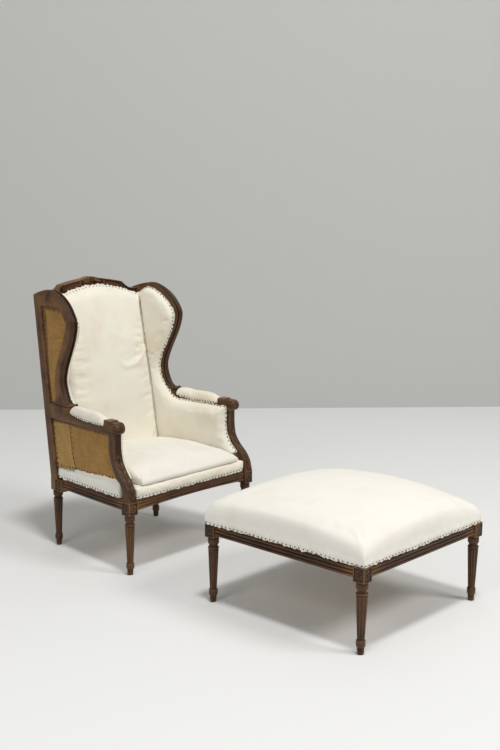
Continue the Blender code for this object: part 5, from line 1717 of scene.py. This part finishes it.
# What each cover is made of: its calico, its body, how full it is and its small forms
COVERS = {
    "footstool_top": (CALICO_STOOL, "footstool", 0.85, stool_shape),
    "inside_back": (CALICO, "chair", 0.8, back_shape),
    "seat_top": (CALICO_SEAT, "chair", 0.8, lumpy(0.0017)),
    "seat_border": (CALICO_COOL_LIGHT_TINT, "chair", 0.9, lumpy(0.0010)),
    "arm": (CALICO, "chair", 0.9, lumpy(0.0005)),
}
OTHER_NODES = {"footstool_top": "footstool_pad", "arm_left": "arm_pad_left", "arm_right": "arm_pad_right"}
for row in batch:
    name = row["piece"].name.removeprefix("padded_")
    kind = name.removesuffix("_left").removesuffix("_right")
    look, body, fill, shape = COVERS.get(kind, (CALICO, "chair", 0.8, lumpy(0.0010)))
    cover(row, look, body, OTHER_NODES.get(name, name), fill, shape)
print("padded pieces:", len(batch))

# %% [markdown]
# ## Hessian and webbing
# The golden hessian is tacked in the openings outside the wings, the arms and the back. Each piece is a
# sheet stretched between its tacks: it is drawn in a little between them and bellies slightly in the
# middle. Its grid follows the edges of the opening, and its UV map counts metres of cloth, so the yarns
# keep one size everywhere. A darker hessian is painted along the top of each sheet as the shadow under
# the wood above it, and along the wing's rear hem and the arm's fold. Under both seats run straps of
# webbing, over and under one another.

# %% Hessian sheets
CLOTH_THICK, STRAP_THICK = 0.0012, 0.0010
PLAIN, HEM_AND_SHADOW, LIGHTER = range(3)
HESSIANS = (HESSIAN, HESSIAN_HEM_AND_SHADOW, HESSIAN_LIGHT)
BACK, TIGHT = Vector((0, 1, 0)), 0.0008


def woven(name, bm, looks, thick, offset, body, node, flat, area):
    """Makes a stretched sheet of a bmesh: its wall, its body, the node it stands for. flat, its flat size, is
    not used.
    """
    mesh = plain_mesh(name, bm, looks)
    mesh.shade_smooth()
    piece = in_scene(name, mesh)
    wall = piece.modifiers.new("thickness", "SOLIDIFY")
    wall.thickness, wall.offset = thick, offset
    declare(piece, body, node, looks[0])
    print(f"{name}: {area:.3f} m2 of cloth")


def hessian_sheet(node, cells, place, flat, sag, choose):
    """A sheet of hessian: place(u, v) gives its points, u and v from 0 to 1, sag(u, v) how far it bellies.
    choose(u, v) says which of its looks each cell has."""
    bm = bmesh.new()
    grain_map = bm.loops.layers.uv.new("Grain")
    made = bmesh.ops.create_grid(bm, x_segments=cells[0], y_segments=cells[1], size=1)
    shares = {v: ((v.co.x + 1) / 2, (v.co.y + 1) / 2) for v in made["verts"]}
    for face in bm.faces:
        for loop in face.loops:
            u, v = shares[loop.vert]
            loop[grain_map].uv = (u * flat[0], v * flat[1])
        middle = [sum(shares[vert][i] for vert in face.verts) / len(face.verts) for i in (0, 1)]
        face.material_index = choose(*middle)
    for vert, (u, v) in shares.items():
        point, outward = place(u, v)
        vert.co = point + outward * sag(u, v)
    bmesh.ops.recalc_face_normals(bm, faces=bm.faces)
    if next(iter(bm.faces)).normal.dot(place(0.5, 0.5)[1]) < 0:
        bmesh.ops.reverse_faces(bm, faces=bm.faces)
    area = sum(face.calc_area() for face in bm.faces)
    name = "hessian_" + node.replace("_hessian", "")
    woven(name, bm, HESSIANS, CLOTH_THICK, 1.0, "chair", node, flat, area)


def edge_pull(u, v, count_u, count_v):
    """Small waves that run in from the tacked edges and die away."""
    waves = 0.0
    for place, count, run in ((u, count_v, v), (v, count_u, u)):
        for near in (place, 1 - place):
            waves += exp(-near / 0.07) * sin(2 * pi * count * run + 1.3 * sin(9 * run))
    return waves


HESSIAN_OUT = BLOCK_HALF - 0.009 - 0.0014
HEM = 0.011
WING_LOWS = [low for _, _, low in WING_FRONT]
WING_UP, WING_UP_END = WING_BASE + JOINT, OPENING_TOP - JOINT


def wing_low_along(up):
    """Along place of the rear edge of the wing's wood at a height."""
    for low, high in zip(WING_LOWS, WING_LOWS[1:]):
        if low.y <= up <= high.y:
            return between(low.x, high.x, (up - low.y) / max(high.y - low.y, 1e-6))
    return WING_LOWS[0].x if up < WING_LOWS[0].y else WING_LOWS[-1].x


def ragged(share):
    """A small uneven shift of the line where a hem ends."""
    return 0.014 * noise.noise(Vector((share * 23.0, 4.2, 0.7)))


def hem_lift(u, v, width, height):
    """The folded edge of the cloth stands a little higher than the rest."""
    near = min(u * width, (1 - u) * width, v * height, (1 - v) * height)
    return 0.0011 * clamp((HEM - near) / 0.002) - 0.0009 * bell(near - HEM * 0.55, 0.0028)


def wing_sag(u, v):
    """How far the wing's hessian bellies, with gathers above its waist."""
    belly = 0.0035 * sin(pi * u) * sin(pi * v) ** 0.7
    gathers = 0.0026 * bell(v - 0.66, 0.10) * bell(u, 0.5) * sin(v * 95 + u * 6)
    return belly + gathers + TIGHT * edge_pull(u, v, 5, 17) + hem_lift(u, v, 0.12, WING_UP_END - WING_UP)


# Painted shadow: the strip along the top is darker, under the wing's top board. The band along the rear edge
# is the darker hem.
def wing_part(u, v):
    return HEM_AND_SHADOW if u > 0.86 + ragged(v) or v > 0.955 + ragged(u) else PLAIN


def arm_sag(u, v):
    """How far the arm's hessian bellies. It lies back against the upright, at 0.70 of its length."""
    belly = 0.0030 * abs(sin(pi * clamp(u / 0.70))) * sin(pi * v) ** 0.7 - 0.0016 * bell(u - 0.70, 0.012)
    return belly + TIGHT * edge_pull(u, v, 20, 9) + hem_lift(u, v, 0.36, 0.17)


# Painted shadow: the strip along the top is darker, under the arm rail. A darker line marks the fold at 0.70,
# and the cloth behind it is lighter.
def arm_part(u, v):
    if v > 0.93 + ragged(u) or 0.69 < u < 0.705:
        return HEM_AND_SHADOW
    return LIGHTER if u > 0.70 else PLAIN


for hand, side in SIDES:

    def wing_spot(u, v):
        up = between(WING_UP, WING_UP_END, v)
        along = between(wing_low_along(up) + JOINT, stile_front(up) - JOINT, u)
        return side_point(side, along, HESSIAN_OUT, up), side_way(side, out=1)

    def arm_spot(u, v):
        foot = border_top(between(0.1, stile_front(0.36), u)) + 2 * JOINT
        up = between(foot, ARM_UNDERSIDE - JOINT, v)
        along = between(post_back(up) + 2 * JOINT, stile_front(up) - JOINT, u)
        return side_point(side, along, HESSIAN_OUT, up), side_way(side, out=1)

    flat = (0.135, WING_UP_END - WING_UP)
    hessian_sheet("outside_wing_hessian_" + hand, (36, 110), wing_spot, flat, wing_sag, wing_part)
    hessian_sheet("outside_arm_hessian_" + hand, (110, 52), arm_spot, (0.400, 0.200), arm_sag, arm_part)

BACK_LOW = BLOCK_TOP + 0.048 + 0.050 + JOINT
BACK_CLOTH = -0.009 + 0.0003


def back_spot(u, v):
    share = 2 * u - 1
    up = between(BACK_LOW, tack_line(share) - CREST_UNDER - 2 * JOINT, v)
    depth = back_depth(up) + BACK_CLOTH
    return chair_point(share * (stile_inner(depth) - 2 * JOINT), depth, up), BACK


def back_sag(u, v):
    belly = 0.0045 * sin(pi * u) * sin(pi * v)
    return belly + TIGHT * edge_pull(u, v, 26, 34) + hem_lift(u, v, 0.46, 0.64)


# Painted shadow: the strip along the top is darker, under the crest rail.
def back_part(u, v):
    return HEM_AND_SHADOW if v > 0.985 + ragged(u) / 3 else PLAIN


hessian_sheet("outside_back_hessian", (120, 150), back_spot, (0.56, 0.66), back_sag, back_part)

# %% Webbing


def strap_lattice(node, count, place, body, flat):
    """Straps that pass over and under one another. place(u, v, up) takes shares from -1 to 1."""
    bm = bmesh.new()
    grain_map = bm.loops.layers.uv.new("Grain")
    cells = 2 * count + 1
    width = 2 / cells
    area = 0.0
    for turned in (False, True):
        for k in range(count):
            centre = -1 + width * (2 * k + 1.5)
            made = bmesh.ops.create_grid(bm, x_segments=6, y_segments=cells * 6, size=1)
            corners = {v: (v.co.x, v.co.y) for v in made["verts"]}
            faces = {face for v in corners for face in v.link_faces}
            for face in faces:
                for loop in face.loops:
                    a, b = corners[loop.vert]
                    loop[grain_map].uv = (a * width * flat[0] / 4 + k * 0.1, b * flat[1] / 2)
            for vert, (a, b) in corners.items():
                wave = cos(pi * (b + 1) / width / 2 + pi / 4 + pi * k + (pi if turned else 0))
                up = (0.0004 + STRAP_THICK / 2) * clamp(1.6 * wave, -1, 1) * 0.55
                u, v = centre + a * width * 0.46, b
                vert.co = place(v, u, up) if turned else place(u, v, up)
            area += sum(face.calc_area() for face in faces)
    bmesh.ops.recalc_face_normals(bm, faces=bm.faces)
    woven("woven_" + node, bm, (WEBBING,), STRAP_THICK, 0.0, body, node, flat, area)


def seat_webbing_place(u, v, up):
    front, rear = -RAIL_OUT + 0.006, DEPTH_SPAN + REAR_BLOCK_BACK - 0.012
    depth = between(front, rear, (v + 1) / 2)
    return chair_point(u * half_width(depth, -BLOCK_HALF - 0.002), depth, RAIL_TOP + SEAT_GAP / 2 + up)


def stool_webbing_place(u, v, up):
    reach = STOOL_HALF_SPAN + RAIL_OUT - 0.006
    return STOOL @ Vector((u * reach, v * reach, STOOL_RAIL_TOP + SEAT_GAP / 2 + up))


strap_lattice("seat_webbing", 4, seat_webbing_place, "chair", (0.56, 0.47))
strap_lattice("footstool_webbing", 5, stool_webbing_place, "footstool", (0.66, 0.66))

# %% [markdown]
# ## Tacks and raw edges
# A tack is a small domed iron head, a squashed sphere half sunk in the cloth. Each one is tilted and
# shifted a little, as hammered tacks are. Outside every line of tacks the calico ends in a raw edge: a
# narrow strip of uneven width that lies on the wood.

# %% Tack heads
HEAD_RADIUS, HEAD_SHARE, HEAD_TILT, HEAD_STRAY = 0.0031, 0.42, 0.45, 0.0016


def wobble(point, seed):
    """A repeatable number between about -1 and 1 for a place."""
    return noise.noise(point * 97.0 + Vector((seed, 1.7 * seed, 0)))


def wobbles(point, seeds):
    """A small uneven direction for a place."""
    return Vector([wobble(point, seed) for seed in seeds])


def tack_piece(name, body, heads):
    """One object of many tack heads: heads gives (place, the way it faces)."""
    bm = bmesh.new()
    for place, faces in heads:
        tilt = wobbles(place, (1, 2, 3)) * HEAD_TILT
        turn = (faces + tilt).normalized().to_track_quat("Z", "Y").to_matrix().to_4x4()
        size = HEAD_RADIUS * (1 + 0.22 * wobble(place, 4))
        shift = wobbles(place, (5, 6, 7)) * HEAD_STRAY
        shift -= faces * shift.dot(faces)
        scale = Matrix.Diagonal((size, size, size * HEAD_SHARE, 1))
        matrix = Matrix.Translation(place + shift) @ turn @ scale
        bmesh.ops.create_uvsphere(bm, u_segments=8, v_segments=5, radius=1, matrix=matrix)
    finished("tacks_" + name, bm, IRON, body, crease=60)


def surface_of(piece):
    """A search tree over the finished, subdivided surface of a piece."""
    graph = bpy.context.evaluated_depsgraph_get()
    return BVHTree.FromObject(piece.evaluated_get(graph), graph)


cloth_of = {"footstool": "padded_footstool_top", "seat_front": "padded_seat_base"}
cloth_of["inside_back"] = "padded_inside_back"
for hand, _ in SIDES:
    cloth_of["seat_border_" + hand] = "padded_seat_border_" + hand
    cloth_of["inside_cover_" + hand] = "padded_inside_wing_and_arm_" + hand
    cloth_of["arm_pad_outer_" + hand] = cloth_of["arm_pad_inner_" + hand] = "padded_arm_" + hand
surfaces = {name: surface_of(bpy.data.objects[name]) for name in sorted(set(cloth_of.values()))}


def on_surface(found_on, spot, out_of):
    """The outermost point of some surfaces that is met from outside, towards a spot, and its normal."""
    hits = [surface.ray_cast(spot + out_of * 0.03, -out_of, 0.045)[:2] for surface in found_on]
    hits = [hit for hit in hits if hit[0]] or [found_on[0].find_nearest(spot, 0.03)[:2]]
    return max(hits, key=lambda hit: hit[0].dot(out_of)) if hits[0][0] else (spot, out_of)


# %% Raw edges
EDGE_STEP, RAW_THICK, TUCK = 0.003, 0.0007, 0.0085
COVER_EDGE_WIDE, BORDER_TOP_WIDE, BACK_EDGE_WIDE = 0.0060, 0.0075, 0.0085


def raw_edge(kind, runs):
    """Strips of uneven width, tucked under the tacks. runs: lists of (place, way out, normal, width)."""
    bm = bmesh.new()
    for stations in runs:

        def edge_point(station, a, b):
            place, out_way, normal, wide = station
            frayed = wide * (0.85 + 0.75 * wobble(place, 11) + 0.55 * noise.noise(place * 420.0))
            reach = a * max(frayed, 0.001) if a > 0 else a * TUCK
            curl = 0.0012 * a * a * (0.5 + wobble(place, 13)) if a > 0 else a * 0.0022
            return place + out_way * reach + normal * (RAW_THICK * b + curl)

        section = [(-1, 0), (0, 0), (0.5, 0), (1, 0), (1, 1), (0.5, 1), (0, 1), (-1, 1)]
        bar(bm, section, stations, edge_point)
        for before, after in zip(stations, stations[1:]):
            step = (after[0] - before[0]).length
            area += step * (edge_point(after, 1, 0) - edge_point(after, -1, 0)).length
    body = "footstool" if kind == "footstool" else "chair"
    piece = finished("raw_edge_" + kind, bm, CALICO_EDGE, body, crease=40)


def straight_edge(line):
    """Stations of a raw edge that hangs below a straight line of tacks, from the face of the pad."""
    stations = []
    for spot, _ in along_path(line["path"], EDGE_STEP):
        place, _ = on_surface([surfaces[cloth_of[line["kind"]]]], spot, line["out_of"])
        stations.append((place + line["out_of"] * 0.0003, line["edge_to"], line["out_of"], line["margin"]))
    return stations


by_kind = {line["kind"]: line for line in tack_lines}
stool_lines = [straight_edge(line) for line in tack_lines if line["kind"] == "footstool"]
raw_edge("footstool", stool_lines)
raw_edge("seat_front", [straight_edge(by_kind["seat_front"])])
for hand, side in SIDES:
    border, cover_kind = "seat_border_" + hand, "inside_cover_" + hand
    raw_edge(border, [straight_edge(by_kind[border])])
    both = [straight_edge(by_kind[f"arm_pad_{way}_{hand}"]) for way in ("outer", "inner")]
    raw_edge("arm_pad_" + hand, both)
    line = by_kind[cover_kind]
    stations = []
    for spot, run in along_path(line["path"], EDGE_STEP):
        out_way = run.cross(line["out_of"]) * side
        lying = spot - line["out_of"] * (0.0025 - 0.0009)
        stations.append((lying, out_way.normalized(), line["out_of"], COVER_EDGE_WIDE))
    raw_edge(cover_kind, [stations])
    stations = []
    for along in evenly(post_back(border_top(0)) + 0.012, 0.338, 100):
        place = side_point(side, along, 0.0136, border_top(along) - 0.003)
        stations.append((place, -DOWN, side_way(side, out=1), BORDER_TOP_WIDE))
    raw_edge("border_top_" + hand, [stations])
stations = []
for spot, run in along_path(by_kind["inside_back"]["path"], EDGE_STEP):
    upward = Vector((-run.z, 0, run.x)).normalized()
    stations.append((spot + BACK * 0.0085, upward, FORWARD, BACK_EDGE_WIDE))
raw_edge("inside_back", [stations])

# %% Tacks on the calico
edge_surfaces, heads_of = {}, {}
for line in tack_lines:
    kind = line["kind"].replace("_outer", "").replace("_inner", "")
    if kind not in edge_surfaces:
        edge_surfaces[kind] = surface_of(bpy.data.objects["raw_edge_" + kind])
    for spot in line["spots"]:
        lies_on = [surfaces[cloth_of[line["kind"]]], edge_surfaces[kind]]
        place, normal = on_surface(lies_on, spot, line["out_of"])
        faces = (line["out_of"] * 1.5 + normal).normalized()
        heads_of.setdefault((kind, line["body"]), []).append((place, faces))
for (kind, body), heads in heads_of.items():
    tack_piece(kind, body, heads)

# %% Tacks on the hessian
TACK_LEVEL = CLOTH_THICK + 0.0010


# Each spot on a side is (along, up, how far the tack is sunk)
wing_spots, arm_spots = [], []
for up in evenly(WING_UP + 0.006, WING_UP_END - 0.006, 21):
    wing_spots += [(wing_low_along(up) + 0.0055, up, 0), (stile_front(up) - 0.0060, up, 0)]
for up in (WING_UP + 0.005, WING_UP_END - 0.006):
    wing_spots += [(along, up, 0) for along in evenly(wing_low_along(up), stile_front(up), 6)[1:-1]]
for along in evenly(post_back(0.50) + 0.006, stile_front(0.50) - 0.006, 20):
    arm_spots.append((along, ARM_UNDERSIDE - 0.0055, 0))
for up in evenly(border_top(0.4) + 0.010, ARM_UNDERSIDE - 0.020, 8):
    front_up = max(up, border_top(0) + 0.012)
    arm_spots += [(stile_front(up) - 0.006, up, 0), (post_back(front_up) + 0.006, front_up, 0)]
    arm_spots.append((between(0.343, 0.3665, (up - 0.355) / 0.177), up, 0.0010))
for along in evenly(post_back(border_top(0) + 0.01) + 0.012, stile_front(0.36) - 0.010, 19):
    arm_spots.append((along, border_top(along) + 0.0075, 0))
for hand, side in SIDES:
    for part, spots in (("outside_wing", wing_spots), ("outside_arm", arm_spots)):
        heads = []
        for along, up, sunk in spots:
            place = side_point(side, along, HESSIAN_OUT + TACK_LEVEL - sunk, up)
            heads.append((place, side_way(side, out=1)))
        tack_piece(f"{part}_{hand}", "chair", heads)


def back_head(share, up, inset):
    """A tack on the outside back, inset from the stile."""
    depth = back_depth(up) + BACK_CLOTH + TACK_LEVEL
    return chair_point(share * (stile_inner(depth) - inset), depth, up), BACK


heads = []
for share in evenly(-1, 1, 26):
    for up in (BACK_LOW + 0.007, tack_line(share) - CREST_UNDER - 0.009):
        heads.append(back_head(share, up, 0.008))
for up in evenly(BACK_LOW, 0.965, 34)[1:-1]:
    heads += [back_head(share, up, 0.007) for share in (-1, 1)]
tack_piece("outside_back", "chair", heads)

# %% [markdown]
# ## The seam lines
# At both sides of the inside back the covers meet in a crease. A thin dark grey tube lies down it: the
# thread of the seam and painted shade in the gap between the covers.

# %% Seams
SEAM_RADIUS = 0.0010
back_surface = surfaces["padded_inside_back"]


def seam_point(centre, a, b):
    return centre + Vector((a * SEAM_RADIUS, b * SEAM_RADIUS, 0))


for hand, side in SIDES:
    stations = []
    for up in evenly(BASE_TOP + 0.050, 0.968, 60):
        depth = pad_front(up)
        for _ in range(3):
            x = half_width(depth, PAD_OUT - 0.0325)
            near = back_surface.ray_cast(chair_point(side * x, depth - 0.08, up), BACK, 0.16)[0]
            depth = near.y - CHAIR_Y - 0.0035 if near else depth
        stations.append(chair_point(side * x, depth, up))
    bm = bmesh.new()
    bar(bm, circle(6), stations, seam_point)
    finished(f"sewn_seam_{hand}", bm, THREAD_AND_CREASE_SHADE, "chair", crease=80)

# %% [markdown]
# ## Stage and light
# The floor and the backdrop are plain, and the backdrop has one side only, so that a camera behind
# it still sees the chair. A large soft light stands at the left, a second one in front at the right and
# a third hangs above, so that the shadows fall softly forward and a little to the right.

# %% Stage
FLOOR_COLOR, BACKDROP_COLOR, BACKDROP_GLOW = (0.80, 0.80, 0.80), (0.42, 0.425, 0.41), (0.42, 0.425, 0.405)
BACKDROP_PLACE, BACKDROP_TURN = Vector((2.435, 2.065, 0)), radians(-44.4)
WORLD_COLOR, WORLD_STRENGTH = (0.62, 0.63, 0.62, 1), 0.39


def stage_plane(name, look, size, place, turn):
    """A large flat square of the stage."""
    bm = bmesh.new()
    bmesh.ops.create_grid(bm, x_segments=1, y_segments=1, size=size)
    bmesh.ops.transform(bm, matrix=Matrix.Translation(place) @ turn.to_matrix().to_4x4(), verts=bm.verts)
    in_scene(name, plain_mesh(name, bm, (look,)))


floor_look, tree, shader = new_look("floor_white")
feed(tree, shader, {"Base Color": (*FLOOR_COLOR, 1), "Roughness": 0.9})
stage_plane("floor", floor_look, 12, Vector((0, 0, -0.0005)), Euler((0, 0, 0)))

backdrop_look, tree, shader = new_look("backdrop_grey")
feed(tree, shader, {"Base Color": (*BACKDROP_COLOR, 1), "Roughness": 0.9})
feed(tree, shader, {"Emission Color": (*BACKDROP_GLOW, 1), "Emission Strength": 0.25})
behind = add(tree, "NewGeometry").outputs["Backfacing"]
clear = add(tree, "BsdfTransparent").outputs["BSDF"]
one_sided = add(tree, "MixShader", {0: behind, 1: shader.outputs["BSDF"], 2: clear})
feed(tree, tree.nodes["Material Output"], {"Surface": one_sided.outputs["Shader"]})
stage_plane("backdrop", backdrop_look, 14, BACKDROP_PLACE, Euler((pi / 2, 0, BACKDROP_TURN)))


def soft_light(name, place, aim, size, power, color):
    """An area light at a place, turned towards a point."""
    data = bpy.data.lights.new(name, "AREA")
    data.shape, data.size, data.size_y = "RECTANGLE", size[0], size[1]
    data.energy, data.color = power, color
    made = in_scene(name, data)
    made.location = place
    made.rotation_euler = (Vector(aim) - Vector(place)).to_track_quat("-Z", "Y").to_euler()


soft_light("left_window", (-4.4, -0.6, 3.4), (0, -0.3, 0.4), (2.0, 2.0), 46, (1.0, 0.98, 0.95))
soft_light("front_right", (1.2, -4.4, 4.6), (0, -0.3, 0.4), (2.0, 1.6), 138, (1.0, 0.98, 0.96))
soft_light("overhead", (-1.3, -2.0, 9.0), (0.0, -0.3, 0), (1.3, 1.3), 370, (1.0, 0.995, 0.985))

world = bpy.data.worlds.new("soft_studio")
bpy.context.scene.world = world
world.use_nodes = True
feed(world.node_tree, world.node_tree.nodes["Background"], {"Color": WORLD_COLOR, "Strength": WORLD_STRENGTH})
print("stage, three lights and world")
